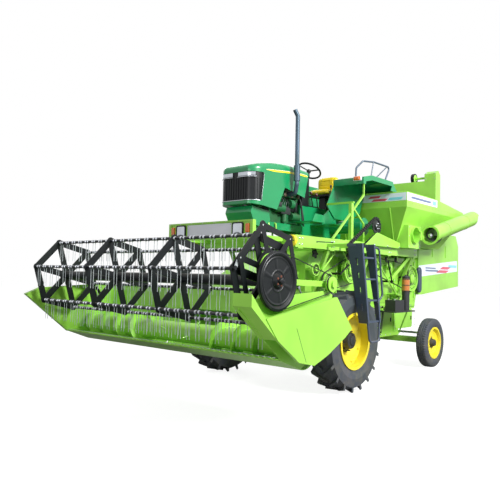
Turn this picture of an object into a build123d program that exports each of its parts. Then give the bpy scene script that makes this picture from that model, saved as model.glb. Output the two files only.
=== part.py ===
# A harvester that carries a farm tractor, less its own wheels, on top of its frame.
# Millimetres, +Z up, +X to the driver's left, -Y ahead towards the cutting table.
# Heights are taken from the ground and lengths along Y from the front axle; the
# finished pieces are shifted so that the origin lies under the middle of the machine.
import os
from math import acos, atan2, cos, degrees, hypot, pi, radians, sin, sqrt

from build123d import *

# Overall driving dimensions
WHEELBASE = 2960
FRONT_TRACK = 2254
REAR_TRACK = 2160
TAIL_Y = 5300
RUNNING_GAP = 0.3
PIN_GAP = 0.05
SIDE_GAP = 6
SHEET = 8

# Front drive wheels
FRONT_TYRE_R = 682.5
FRONT_TYRE_W = 378
FRONT_RIM_R = 356
LUG_HEIGHT = 38
LUG_COUNT = 19
LUG_WIDTH = 44
LUG_LEAD = 150
FRONT_FLANGE_R = 382
FRONT_BEAD_HALF = 147
FRONT_RIM_HALF = 157
FRONT_HUB_R = 120
FRONT_STUB_R = 50

# Rear steered wheels
REAR_TYRE_R = 425
REAR_TYRE_W = 190
REAR_RIM_R = 254
REAR_FLANGE_R = 275
REAR_BEAD_HALF = 68
REAR_RIM_HALF = 76
REAR_HUB_R = 72
REAR_STUB_R = 28
KINGPIN_X = 915
KINGPIN_R = 22
STEER_ARM = 170
TOW_Y = 3120
TOW_PIN_R = 16
TIE_ROD_R = 19

# Threshing body and tail
BODY_HALF = 660
TAIL_HALF = 700
BODY_FRONT_Y = -300
BODY_TOP_Z = 1900
BODY_LOW_Z = 520
BODY_LOW_START_Y = 520
AXLE_STEP_Z = 1000
AXLE_SEAT_Z = 900
TAIL_START_Y = 3300
TAIL_TOP_Z = 2460
TAIL_LOW_Z = 1400

# Upper frame that carries the tractor
RAIL_X = 950
RAIL_W = 90
RAIL_H = 155
RAIL_TOP_Z = 2070
RAIL_FRONT_Y = -940
RAIL_REAR_Y = 2700
CROSS_W = 110

# Grain tank
TANK_HALF = 1200
TANK_FRONT_Y = 1730
TANK_REAR_Y = 4200
TANK_STEP_Y = 2960
TANK_TOP_Z = 2940
TANK_TAIL_Z = 2830
TANK_BAND_Z = 2700
TANK_FLOOR_Z = 2110
TANK_FLOOR_HALF = 930
TANK_FLOOR_INSET = 170
TANK_TAIL_INSET = 500
TANK_BOARD_H = 370

# Cutting table, given level and then turned nose up about the feeder pivot
LIFT_PIVOT_Y = -400
LIFT_PIVOT_Z = 1500
TRUNNION_R = 30
LIFT_FOOT = (-170, 800)
LIFT_X = 360
LIFT_PIN_R = 20
TABLE_TILT = 20
TABLE_RIGHT_X = -1936
TABLE_LEFT_X = 1818
TABLE_OUT_X = 2000
TABLE_FLOOR_Z = 100
TABLE_LIP_Y = -1950
TABLE_BACK_Y = -1390
TABLE_TOP_Z = 1000
AUGER_R = 210
AUGER_TUBE_R = 125
AUGER_GAP = 20
AUGER_PITCH = 420
FEEDER_HALF = 500
FEEDER_LOW_Z = 150
FEEDER_DEPTH = 560
GUARD_PITCH = 76.2
GUARD_REACH = 90
KNIFE_Z = 106

# Reel
REEL_Y = -2352
REEL_Z = 776
REEL_R = 455
REEL_BATS = 6
REEL_PHASE = 6
REEL_FAR_X = -1800
REEL_NEAR_X = 1694
REEL_SPIDERS = 4
REEL_TUBE_R = 57
REEL_SHAFT_R = 25
BAT_R = 17
TINE_R = 3
TINE_DROP = 250
TINE_PITCH = 150
TINE_GAP = 50
CRANK_Y = 13
CRANK_Z = 111
REEL_DISC_R = 285
REEL_DISC_X = 1850
REEL_DISC_W = 40
REEL_LAY_R = 85
ARM_PIVOT_Y = -1450
ARM_PIVOT_Z = 1075
ARM_W = 40
REEL_FOOT = (-1640, 700)
REEL_EYE = (-1900, 872)
REEL_LIFT_X = (-1870, 1786)
REEL_LIFT_R = 20
ARM_H = 60

# Tractor
HOOD_HALF = 330
HOOD_REAR_Y = 232
HOOD_CREST_Y = -121
HOOD_TOP_Z = 3145
HOOD_EDGE_R = 75
NOSE_HALF = 220
NOSE_Y = -1050
NOSE_WRAP = 170
NOSE_TOP_Z = 3030
NOSE_LOW_Z = 2510
GRILLE_LOW_Z = 2557
GRILLE_TOP_Z = 2945
LAMP_LOW_Z = 2872
GRILLE_BACK = 20
SLATS = 9
SLAT_PITCH = 44
SLAT_W = 12
ENGINE_HALF = 150
ENGINE_LOW_Z = 2300
ENGINE_TOP_Z = 2700
ENGINE_FRONT_Y = -500
ENGINE_REAR_Y = 190
GEARBOX_HALF = 190
TRACTOR_AXLE_Y = 1120
TRACTOR_AXLE_Z = 2340
TRACTOR_AXLE_R = 105
FENDER_OUT_X = 965
FENDER_IN_X = 440
FENDER_FRONT_Y = 750
FENDER_REAR_Y = 1858
FENDER_LOW_Z = 2957
FENDER_FRONT_Z = 3057
FENDER_TOP_Z = 3115
FENDER_LIP = 75
EXHAUST_X = 420
EXHAUST_Y = -205
EXHAUST_R = 32
EXHAUST_TOP_Z = 3940
SEAT_Y = 1150
SEAT_Z = 2955
HANDWHEEL_Y = 700
HANDWHEEL_Z = 3240
HANDWHEEL_R = 190
COLUMN_Y = 420
COLUMN_FOOT = (360, 2651)
COLUMN_PIN_R = 10

# Chain from the tractor's axle down to the countershaft
CHAIN_X = 980
CHAIN_W = 30
CHAIN_PITCH = 50
CHAIN_TOP_R = 110
CHAIN_LOW_R = 85
COUNTER_Y = 400
COUNTER_Z = 1945

# Boarding ladder
LADDER_TOP_Z = 1990
LADDER_LOW_Z = 930
LADDER_STEP = 320
LADDER_STRINGER = 40
LADDER_RISE = 285
LADDER_FOOT_Z = 680
LADDER_CLEARANCE = 34
LADDER_FOOT_X = FRONT_TRACK / 2 + FRONT_TYRE_W / 2 + LADDER_CLEARANCE
LADDER_LEAN = 80
LADDER_SHIFT = 190

# Unloading tube
MOUTH_X = TANK_HALF - 50
MOUTH_Y = 2110
MOUTH_Z = 2260
TUBE_R = 135
TUBE_LENGTH = 2050
TUBE_RISE = 13
TUBE_HINGE_OUT = 150
TUBE_HINGE_X = 53
TUBE_PIN_R = 8


# Small makers shared by every sub-part

def block(x0, x1, y0, y1, z0, z1):
    """A box between two corners."""
    return Pos((x0 + x1) / 2, (y0 + y1) / 2, (z0 + z1) / 2) * Box(abs(x1 - x0), abs(y1 - y0), abs(z1 - z0))


def slab(points, x0, x1):
    """A side-view outline of (y, z) points, carried across from x0 to x1."""
    outline = make_face(Polyline(*points, close=True))
    return extrude(Plane.YZ.offset(min(x0, x1)) * outline, amount=abs(x1 - x0))


def plan(points, z0, z1):
    """A plan outline of (x, y) points, carried up from z0 to z1."""
    return extrude(Pos(0, 0, z0) * make_face(Polyline(*points, close=True)), amount=z1 - z0)


def lengthwise(x, z, y0, y1, r):
    """A round piece on an axis that runs from front to back."""
    return Pos(x, (y0 + y1) / 2, z) * Rot(90, 0, 0) * Cylinder(r, abs(y1 - y0))


def largest(shape):
    """The largest solid of a shape, without the small bits that a cut leaves behind another piece."""
    return max(shape.solids(), key=lambda solid: solid.volume)


def looped(x0, x1, first, second, grow):
    """Two round ends, each (y, z, radius), joined by their straight tangents, from x0 to x1."""
    (y0, z0, r0), (y1, z1, r1) = first, second
    line = atan2(z1 - z0, y1 - y0)
    spread = acos((r0 - r1) / hypot(y1 - y0, z1 - z0))
    r0, r1 = r0 + grow, r1 + grow

    def rim(y, z, r, angle):
        return y + r * cos(angle), z + r * sin(angle)

    a0, a1 = rim(y0, z0, r0, line + spread), rim(y1, z1, r1, line + spread)
    b0, b1 = rim(y0, z0, r0, line - spread), rim(y1, z1, r1, line - spread)
    edges = [Line(a0, a1), ThreePointArc(a1, rim(y1, z1, r1, line), b1), Line(b1, b0),
             ThreePointArc(b0, rim(y0, z0, r0, line + pi), a0)]
    return extrude(Plane.YZ.offset(min(x0, x1)) * make_face(edges), amount=abs(x1 - x0))


def belt(x0, x1, first, second, thick):
    """A band round two pulleys, each (y, z, radius)."""
    return looped(x0, x1, first, second, thick) - looped(x0 - 1, x1 + 1, first, second, RUNNING_GAP)


def turned(points, x, y, z):
    """A ring of (along x, radius) points turned about a crosswise axle through x, y, z."""
    outline = Plane.XZ * make_face(Polyline(*points, close=True))
    return Pos(x, y, z) * revolve(outline, Axis.X)


def drum(x0, x1, y, z, r):
    """A round piece on a crosswise axis."""
    return Pos((x0 + x1) / 2, y, z) * Rot(0, 90, 0) * Cylinder(r, abs(x1 - x0))


def post(x, y, z0, z1, r):
    """A round upright piece."""
    return Pos(x, y, (z0 + z1) / 2) * Cylinder(r, z1 - z0)


def rod(start, end, r):
    """A round bar between two points."""
    start, end = Vector(*start), Vector(*end)
    plane = Plane(origin=start, z_dir=end - start)
    return extrude(plane * Circle(r), amount=(end - start).length)


def strut(start, end, w, h):
    """A square bar between two points, w across and h up."""
    start, end = Vector(*start), Vector(*end)
    along = (end - start).normalized()
    side = along.cross(Vector(0, 0, 1))
    if side.length < 0.01:
        side = Vector(1, 0, 0)
    plane = Plane(origin=start, x_dir=side, z_dir=along)
    return extrude(plane * Rectangle(w, h), amount=(end - start).length)


def pipe(points, r, bend):
    """A bent pipe through the points, with the same bend at every corner."""
    path = FilletPolyline(*points, radius=bend)
    return sweep(Plane(origin=path @ 0, z_dir=path % 0) * Circle(r), path=path)


def both(shape):
    """A piece of the left side, and its mirror image on the right."""
    return group([shape, mirror(shape, about=Plane.YZ)])


def group(pieces):
    """Pieces of one node that stand apart."""
    return Compound([solid for piece in pieces for solid in piece.solids()])


def joined(pieces):
    """Pieces welded to the first of them."""
    pieces = list(pieces)
    return pieces[0].fuse(*pieces[1:])


# Wheels

def front_tyre(side):
    """The lugged drive tyre: a low crown, with bars laid in a chevron round it."""
    half = FRONT_TYRE_W / 2
    crown_r = FRONT_TYRE_R - LUG_HEIGHT
    bead = FRONT_RIM_R + RUNNING_GAP
    ring = [(-FRONT_BEAD_HALF, bead), (-half, (bead + crown_r) / 2), (-half * 0.93, crown_r - 34),
            (-half * 0.55, crown_r), (half * 0.55, crown_r), (half * 0.93, crown_r - 34),
            (half, (bead + crown_r) / 2), (FRONT_BEAD_HALF, bead)]
    tyre = turned(ring, 0, 0, 0)
    reach = LUG_LEAD / 2 + LUG_WIDTH / 2
    top = sqrt(FRONT_TYRE_R ** 2 - reach ** 2)
    root = crown_r - 46
    bars = []
    for turn in range(LUG_COUNT):
        for hand in (-1, 1):
            angle = (turn + (0.5 if hand > 0 else 0)) * 360 / LUG_COUNT
            inner, outer = -8 * hand, half * 0.92 * hand
            bar = [(inner, -LUG_LEAD / 2 - LUG_WIDTH / 2), (outer, LUG_LEAD / 2 - LUG_WIDTH / 2),
                   (outer, LUG_LEAD / 2 + LUG_WIDTH / 2), (inner, -LUG_LEAD / 2 + LUG_WIDTH / 2)]
            bars.append(Rot(angle, 0, 0) * plan(bar, root, top))
    tyre = tyre.fuse(*bars)
    return Pos(side * FRONT_TRACK / 2, 0, FRONT_TYRE_R) * tyre


def front_rim(side):
    """The drive wheel: barrel, deep dish and the bolted hub in its middle."""
    half = FRONT_RIM_HALF
    wall = 11
    dish_out, dish_in, hub_out = 40, -30, 110
    outline = [(half, FRONT_FLANGE_R), (half + 12, FRONT_FLANGE_R), (half + 12, FRONT_RIM_R - wall),
               (dish_out + wall, FRONT_RIM_R - wall), (dish_in + wall, FRONT_HUB_R + 60),
               (dish_in + wall, FRONT_HUB_R), (hub_out, FRONT_HUB_R * 0.8), (hub_out, 0),
               (hub_out - 40, 0), (hub_out - 40, FRONT_STUB_R + RUNNING_GAP),
               (dish_in, FRONT_STUB_R + RUNNING_GAP), (dish_in, FRONT_HUB_R + 60),
               (dish_out, FRONT_RIM_R - wall), (-half - 12, FRONT_RIM_R - wall),
               (-half - 12, FRONT_FLANGE_R), (-half, FRONT_FLANGE_R), (-half, FRONT_RIM_R),
               (half, FRONT_RIM_R)]
    outline = [(side * x, r) for x, r in outline]
    return turned(outline, side * FRONT_TRACK / 2, 0, FRONT_TYRE_R)


def rear_tyre(side):
    """The ribbed steering tyre."""
    half = REAR_TYRE_W / 2
    bead = REAR_RIM_R + RUNNING_GAP
    ring = [(-REAR_BEAD_HALF, bead), (-half, (bead + REAR_TYRE_R) / 2), (-half * 0.86, REAR_TYRE_R - 16),
            (-half * 0.6, REAR_TYRE_R), (half * 0.6, REAR_TYRE_R), (half * 0.86, REAR_TYRE_R - 16),
            (half, (bead + REAR_TYRE_R) / 2), (REAR_BEAD_HALF, bead)]
    return turned(ring, side * REAR_TRACK / 2, WHEELBASE, REAR_TYRE_R)


def rear_rim(side):
    """The steered wheel: barrel, dish and hub cap."""
    half = REAR_RIM_HALF
    wall = 8
    dish, hub_in, hub_out = 12, -38, 88
    outline = [(half, REAR_FLANGE_R), (half + 9, REAR_FLANGE_R), (half + 9, REAR_RIM_R - wall),
               (dish + 20, REAR_RIM_R - wall - 14), (dish + wall, REAR_HUB_R + 30),
               (dish + wall, REAR_HUB_R), (hub_out, REAR_HUB_R * 0.7), (hub_out, 0),
               (hub_out - 25, 0), (hub_out - 25, REAR_STUB_R + RUNNING_GAP),
               (hub_in, REAR_STUB_R + RUNNING_GAP), (hub_in, REAR_HUB_R), (dish, REAR_HUB_R),
               (dish, REAR_HUB_R + 30), (dish + 12, REAR_RIM_R - wall), (-half - 9, REAR_RIM_R - wall),
               (-half - 9, REAR_FLANGE_R), (-half, REAR_FLANGE_R), (-half, REAR_RIM_R), (half, REAR_RIM_R)]
    outline = [(side * x, r) for x, r in outline]
    return turned(outline, side * REAR_TRACK / 2, WHEELBASE, REAR_TYRE_R)


# Axles and steering

def front_axle():
    """The drive axle: a square beam, two final-drive drums and the stubs in the hubs."""
    z = FRONT_TYRE_R
    drum_out = FRONT_TRACK / 2 - 45
    pieces = [block(-drum_out + 90, drum_out - 90, -95, 95, z - 95, z + 95)]
    for side in (-1, 1):
        pieces.append(drum(side * (drum_out - 150), side * drum_out, 0, z, 165))
        pieces.append(drum(side * drum_out, side * (FRONT_TRACK / 2 + 55), 0, z, FRONT_STUB_R))
        pieces.append(block(side * (BODY_HALF - 130), side * (BODY_HALF - 30), -95, 95, z + 90, AXLE_SEAT_Z))
        x, (foot_y, foot_z) = side * LIFT_X, LIFT_FOOT
        for cheek in (-62, 50):
            pieces.append(block(x + cheek, x + cheek + 12, foot_y - 40, -90, foot_z - 45, foot_z + 45))
        pieces.append(drum(x - 62, x + 62, foot_y, foot_z, LIFT_PIN_R))
    return joined(pieces)


def rear_axle():
    """The steered axle beam, its eyes for the kingpins and the pedestal under the body."""
    z = REAR_TYRE_R + 30
    pieces = [block(-KINGPIN_X, KINGPIN_X, WHEELBASE - 50, WHEELBASE + 50, z - 50, z + 50)]
    for side in (-1, 1):
        pieces.append(post(side * KINGPIN_X, WHEELBASE, z - 60, z + 60, 48))
    pieces.append(block(-240, 240, WHEELBASE - 90, WHEELBASE + 90, z + 50, AXLE_STEP_Z))
    pieces.append(block(-60, 60, WHEELBASE + 40, TOW_Y + 50, z - 15, z + 15))
    beam = joined(pieces) - post(0, TOW_Y, z - 20, z + 20, TOW_PIN_R)
    for side in (-1, 1):
        beam -= post(side * KINGPIN_X, WHEELBASE, z - 70, z + 70, KINGPIN_R + PIN_GAP)
    return beam


def knuckle(side):
    """A fork round the axle's eye, with the kingpin, the wheel's stub and the steering arm."""
    z = REAR_TYRE_R + 30
    x = side * KINGPIN_X
    cheek_out = x + side * 78
    pieces = [post(x, WHEELBASE, z - 88, z + 88, KINGPIN_R)]
    for low, high in ((-88, -66), (66, 88)):
        pieces.append(post(x, WHEELBASE, z + low, z + high, 44))
        pieces.append(block(x, cheek_out, WHEELBASE - 38, WHEELBASE + 38, z + low, z + high))
    pieces.append(block(x + side * 56, cheek_out, WHEELBASE - 38, WHEELBASE + 38, z - 88, z + 88))
    pieces.append(drum(cheek_out, side * (REAR_TRACK / 2 + 52), WHEELBASE, REAR_TYRE_R, REAR_STUB_R))
    pieces.append(block(x - 24, x + 24, WHEELBASE, WHEELBASE + STEER_ARM, z + 66, z + 88))
    pieces.append(post(x, WHEELBASE + STEER_ARM, z + 66, z + 88, 24))
    return joined(pieces)


def tie_rod():
    """The bar that joins the two steering arms, carried just above them."""
    z = REAR_TYRE_R + 30 + 88 + RUNNING_GAP
    y = WHEELBASE + STEER_ARM
    pieces = [rod((-KINGPIN_X + 40, y, z + TIE_ROD_R), (KINGPIN_X - 40, y, z + TIE_ROD_R), TIE_ROD_R)]
    for side in (-1, 1):
        pieces.append(post(side * KINGPIN_X, y, z, z + 2 * TIE_ROD_R, 27))
        pieces.append(block(side * (KINGPIN_X - 60), side * KINGPIN_X, y - 15, y + 15, z, z + 2 * TIE_ROD_R))
    return joined(pieces)


# Frame, body and tail

def chassis_frame():
    """The two upper rails with their cross beams, and the posts down to the body."""
    low = RAIL_TOP_Z - RAIL_H
    pieces = [block(side * (RAIL_X - RAIL_W), side * RAIL_X, RAIL_FRONT_Y, RAIL_REAR_Y, low, RAIL_TOP_Z)
              for side in (-1, 1)]
    # columns: y of the beam's middle
    for y in (-820, -60, 985, 1650, 2600):
        pieces.append(block(-RAIL_X + 5, RAIL_X - 5, y - CROSS_W / 2, y + CROSS_W / 2,
                            BODY_TOP_Z, RAIL_TOP_Z - 10))
    frame = joined(pieces)
    caps = []
    for side in (-1, 1):
        caps.append(Pos(side * (RAIL_X - RAIL_W / 2), RAIL_FRONT_Y - 12, RAIL_TOP_Z - RAIL_H / 2)
                    * Rot(90, 0, 0) * Cylinder(72, 24))
    frame = frame.fuse(*caps)
    # columns: y and z at the rail, then y and z at the body's side
    braces = ((-112, low, -112, 1300), (1050, low, 1050, 1250), (2480, low, 2080, 1400), (2540, low, 2540, 1250))
    for side in (-1, 1):
        for y0, z0, y1, z1 in braces:
            frame = frame.fuse(strut((side * (RAIL_X - 40), y0, z0 + 20), (side * (BODY_HALF - 20), y1, z1), 60, 50))
    return frame - block(-BODY_HALF, BODY_HALF, BODY_FRONT_Y - 300, TAIL_START_Y, AXLE_STEP_Z, BODY_TOP_Z)


def threshing_body():
    """The closed drum and sieve housing between the axles."""
    outline = [(BODY_FRONT_Y, 1250), (BODY_FRONT_Y, 1700), (-150, BODY_TOP_Z), (TAIL_START_Y, BODY_TOP_Z),
               (TAIL_START_Y, AXLE_STEP_Z + 250), (WHEELBASE + 250, AXLE_STEP_Z), (WHEELBASE - 250, AXLE_STEP_Z),
               (WHEELBASE - 420, BODY_LOW_Z + 30), (BODY_LOW_START_Y, BODY_LOW_Z), (300, AXLE_SEAT_Z),
               (-200, AXLE_SEAT_Z)]
    body = slab(outline, -BODY_HALF, BODY_HALF)
    for side in (-1, 1):
        bracket = slab([(BODY_FRONT_Y, LIFT_PIVOT_Z - 110), (BODY_FRONT_Y, LIFT_PIVOT_Z + 110),
                        (LIFT_PIVOT_Y - 50, LIFT_PIVOT_Z + 45), (LIFT_PIVOT_Y - 50, LIFT_PIVOT_Z - 45)],
                       side * (FEEDER_HALF + 20), side * (FEEDER_HALF + 55))
        pin = drum(side * (FEEDER_HALF - 22), side * (FEEDER_HALF + 55), LIFT_PIVOT_Y, LIFT_PIVOT_Z, TRUNNION_R)
        body = body.fuse(bracket, pin, drum(side * BODY_HALF, side * (BODY_HALF + 25), 180, 1420, 245))
        # ribs on the side: y, low z and high z
        for y, low, high in ((480, 560, 1850), (1340, 600, 1850), (2380, 640, 1850), (3180, 1200, 1850)):
            body = body.fuse(block(side * BODY_HALF, side * (BODY_HALF + 22), y - 20, y + 20, low, high))
        body = body.fuse(block(side * BODY_HALF, side * (BODY_HALF + 30), 560, WHEELBASE - 430, 560, 620),
                         block(side * BODY_HALF, side * (BODY_HALF + 18), 500, WHEELBASE + 240, 1040, 1085))
    return body


def rear_hood():
    """The straw hood: a shell that is open below and behind."""
    rest_z = TANK_FLOOR_Z - SIDE_GAP
    slope_y, top_y = TANK_REAR_Y - TANK_TAIL_INSET + 40, TANK_REAR_Y - 140
    outline = [(TAIL_START_Y, BODY_TOP_Z - 650), (TAIL_START_Y, rest_z), (slope_y, rest_z), (top_y, TAIL_TOP_Z),
               (TAIL_Y - 140, TAIL_TOP_Z), (TAIL_Y, TAIL_TOP_Z - 220), (TAIL_Y, TAIL_LOW_Z),
               (TAIL_START_Y + 150, BODY_TOP_Z - 650)]
    hood = slab(outline, -TAIL_HALF, TAIL_HALF)
    inner = [(TAIL_START_Y + SHEET, 1000), (TAIL_START_Y + SHEET, rest_z - SHEET), (slope_y + 4, rest_z - SHEET),
             (top_y + 4, TAIL_TOP_Z - SHEET), (TAIL_Y - 144, TAIL_TOP_Z - SHEET), (TAIL_Y - SHEET, TAIL_TOP_Z - 223),
             (TAIL_Y - SHEET, 1000)]
    hollow = slab(inner, -TAIL_HALF + SHEET, TAIL_HALF - SHEET)
    return hood - hollow


# Grain tank, elevator and unloader

def tank_ring(z, half, y0, y1):
    """One level of the tank as a rectangle at height z."""
    return Pos(0, (y0 + y1) / 2, z) * Rectangle(2 * half, y1 - y0)


def tank_solid(inset):
    """The tank's outer form, or with an inset the form of its inside."""
    floor = TANK_FLOOR_Z + inset
    lower = loft([tank_ring(floor, TANK_FLOOR_HALF - inset, TANK_FRONT_Y + TANK_FLOOR_INSET + inset,
                            TANK_REAR_Y - TANK_TAIL_INSET - inset),
                  tank_ring(TANK_BAND_Z, TANK_HALF - inset, TANK_FRONT_Y + inset, TANK_REAR_Y - inset)])
    outline = [(TANK_FRONT_Y + inset, TANK_BAND_Z), (TANK_REAR_Y - inset, TANK_BAND_Z),
               (TANK_REAR_Y - inset, TANK_TAIL_Z), (TANK_STEP_Y, TANK_TOP_Z), (TANK_FRONT_Y + inset, TANK_TOP_Z)]
    if inset:
        outline = [(TANK_FRONT_Y + inset, TANK_BAND_Z), (TANK_REAR_Y - inset, TANK_BAND_Z),
                   (TANK_REAR_Y - inset, TANK_TOP_Z + 50), (TANK_FRONT_Y + inset, TANK_TOP_Z + 50)]
    return lower.fuse(slab(outline, -TANK_HALF + inset, TANK_HALF - inset))


def grain_tank():
    """The open hopper with its rear board."""
    tank = tank_solid(0) - tank_solid(SHEET)
    board = block(-TANK_HALF, TANK_HALF - 50, TANK_STEP_Y + 30, TANK_STEP_Y + 30 + SHEET,
                  TANK_TOP_Z - 240, TANK_TOP_Z + TANK_BOARD_H)
    foot = block(-TANK_HALF, TANK_HALF, TANK_STEP_Y + 30, TANK_STEP_Y + 30 + SHEET,
                 TANK_BAND_Z, TANK_TOP_Z - 60)
    board = board.fuse(foot)
    rests = []
    for y in (2000, 3200):
        rests.append(block(-BODY_HALF, BODY_HALF, y - 40, y + 40, BODY_TOP_Z, TANK_FLOOR_Z))
    return tank.fuse(board, rests[0], rests[1])


def grain_elevator():
    """The head of the clean-grain elevator above the tank, with its pulley."""
    y = TANK_STEP_Y + 60
    head = slab([(y, TANK_FLOOR_Z + 40), (y + 200, TANK_FLOOR_Z + 40), (y + 200, 3430), (y + 120, 3500), (y, 3440)],
                TANK_HALF - 270, TANK_HALF - 50 - SHEET)
    above = block(0, TANK_HALF, y, y + 200, TANK_TOP_Z, 3600)
    head &= tank_solid(SHEET).fuse(above)
    shaft = drum(TANK_HALF - 520, TANK_HALF - 260, y + 60, 3380, 20)
    pulley = drum(TANK_HALF - 520, TANK_HALF - 470, y + 60, 3380, 80)
    return joined([head, shaft, pulley])


def auger_box():
    """The cross auger's box under the tank, with its round mouth."""
    outline = [(MOUTH_Y - 210, 2045), (MOUTH_Y - 210, 2420), (MOUTH_Y + 260, 2420), (MOUTH_Y + 260, 2045)]
    box = slab(outline, RAIL_X + 4, MOUTH_X) - tank_solid(0)
    box = box.fuse(drum(MOUTH_X, MOUTH_X + 45, MOUTH_Y, MOUTH_Z, TUBE_R))
    box -= drum(MOUTH_X - 130, MOUTH_X + 60, MOUTH_Y, MOUTH_Z, TUBE_R - SHEET)
    box = box.fuse(drum(MOUTH_X - 132, MOUTH_X - 20, MOUTH_Y, MOUTH_Z, 26))
    pin_x, pin_y = MOUTH_X + TUBE_HINGE_X, MOUTH_Y + TUBE_HINGE_OUT
    for z in (MOUTH_Z - 73, MOUTH_Z + 61):
        box = box.fuse(block(MOUTH_X - 20, pin_x + 11, MOUTH_Y + 110, pin_y + 11, z, z + 12))
    box = box.fuse(post(pin_x, pin_y, MOUTH_Z - 80, MOUTH_Z + 80, TUBE_PIN_R))
    return box - tank_solid(0)


def unloading_tube():
    """The unloading tube as it is parked: folded back from its mouth, rising to the rear."""
    hinge_x, hinge_y = MOUTH_X + TUBE_HINGE_X, MOUTH_Y + TUBE_HINGE_OUT
    x = hinge_x + TUBE_HINGE_OUT
    start = Vector(x, hinge_y, MOUTH_Z)
    along = Vector(0, cos(radians(TUBE_RISE)), sin(radians(TUBE_RISE)))
    end = start + along * TUBE_LENGTH
    tube = rod(start, end, TUBE_R)
    spout_end = end + Vector(110, 210, -90)
    spout = rod(end - along * 60, spout_end, TUBE_R)
    tube = tube.fuse(Pos(*(end)) * Sphere(TUBE_R), spout)
    bore = rod(start - along * 20, end, TUBE_R - SHEET).fuse(rod(end - along * 60, spout_end + (spout_end - end) * 0.2,
                                                                 TUBE_R - SHEET))
    tube -= bore
    trim = block(x - 2 * TUBE_R, x + 2 * TUBE_R, hinge_y - 120, hinge_y + 20, MOUTH_Z - 300, MOUTH_Z + 300)
    tube -= trim
    flange = Pos(x, hinge_y + 26, MOUTH_Z + 8) * Rot(90, 0, 0) * (Cylinder(TUBE_R + 26, 12) - Cylinder(TUBE_R - SHEET, 14))
    lug = block(hinge_x, x - TUBE_R + 4, hinge_y + 4, hinge_y + 32, MOUTH_Z - 60, MOUTH_Z + 60)
    eye = post(hinge_x, hinge_y, MOUTH_Z - 60, MOUTH_Z + 60, TUBE_PIN_R + 9)
    return joined([tube, flange, lug.fuse(eye)]) - post(hinge_x, hinge_y, MOUTH_Z - 70, MOUTH_Z + 70,
                                                        TUBE_PIN_R + PIN_GAP)


# Cutting table

def raised(shape):
    """Turns a piece of the level table nose up about the feeder's pivot."""
    return shape.rotate(Axis((0, LIFT_PIVOT_Y, LIFT_PIVOT_Z), (1, 0, 0)), -TABLE_TILT)


AUGER_Y = TABLE_BACK_Y - AUGER_R - AUGER_GAP
AUGER_Z = TABLE_FLOOR_Z + AUGER_R + AUGER_GAP
# columns: y and z of each corner of the table's end walls, level
END_WALL = ((TABLE_LIP_Y, TABLE_FLOOR_Z - SHEET), (AUGER_Y, TABLE_FLOOR_Z - SHEET),
            (TABLE_BACK_Y + SHEET, AUGER_Z), (TABLE_BACK_Y + SHEET, TABLE_TOP_Z),
            (TABLE_BACK_Y - 60, TABLE_TOP_Z), (-2575, 517), (-2741, 365))


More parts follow.
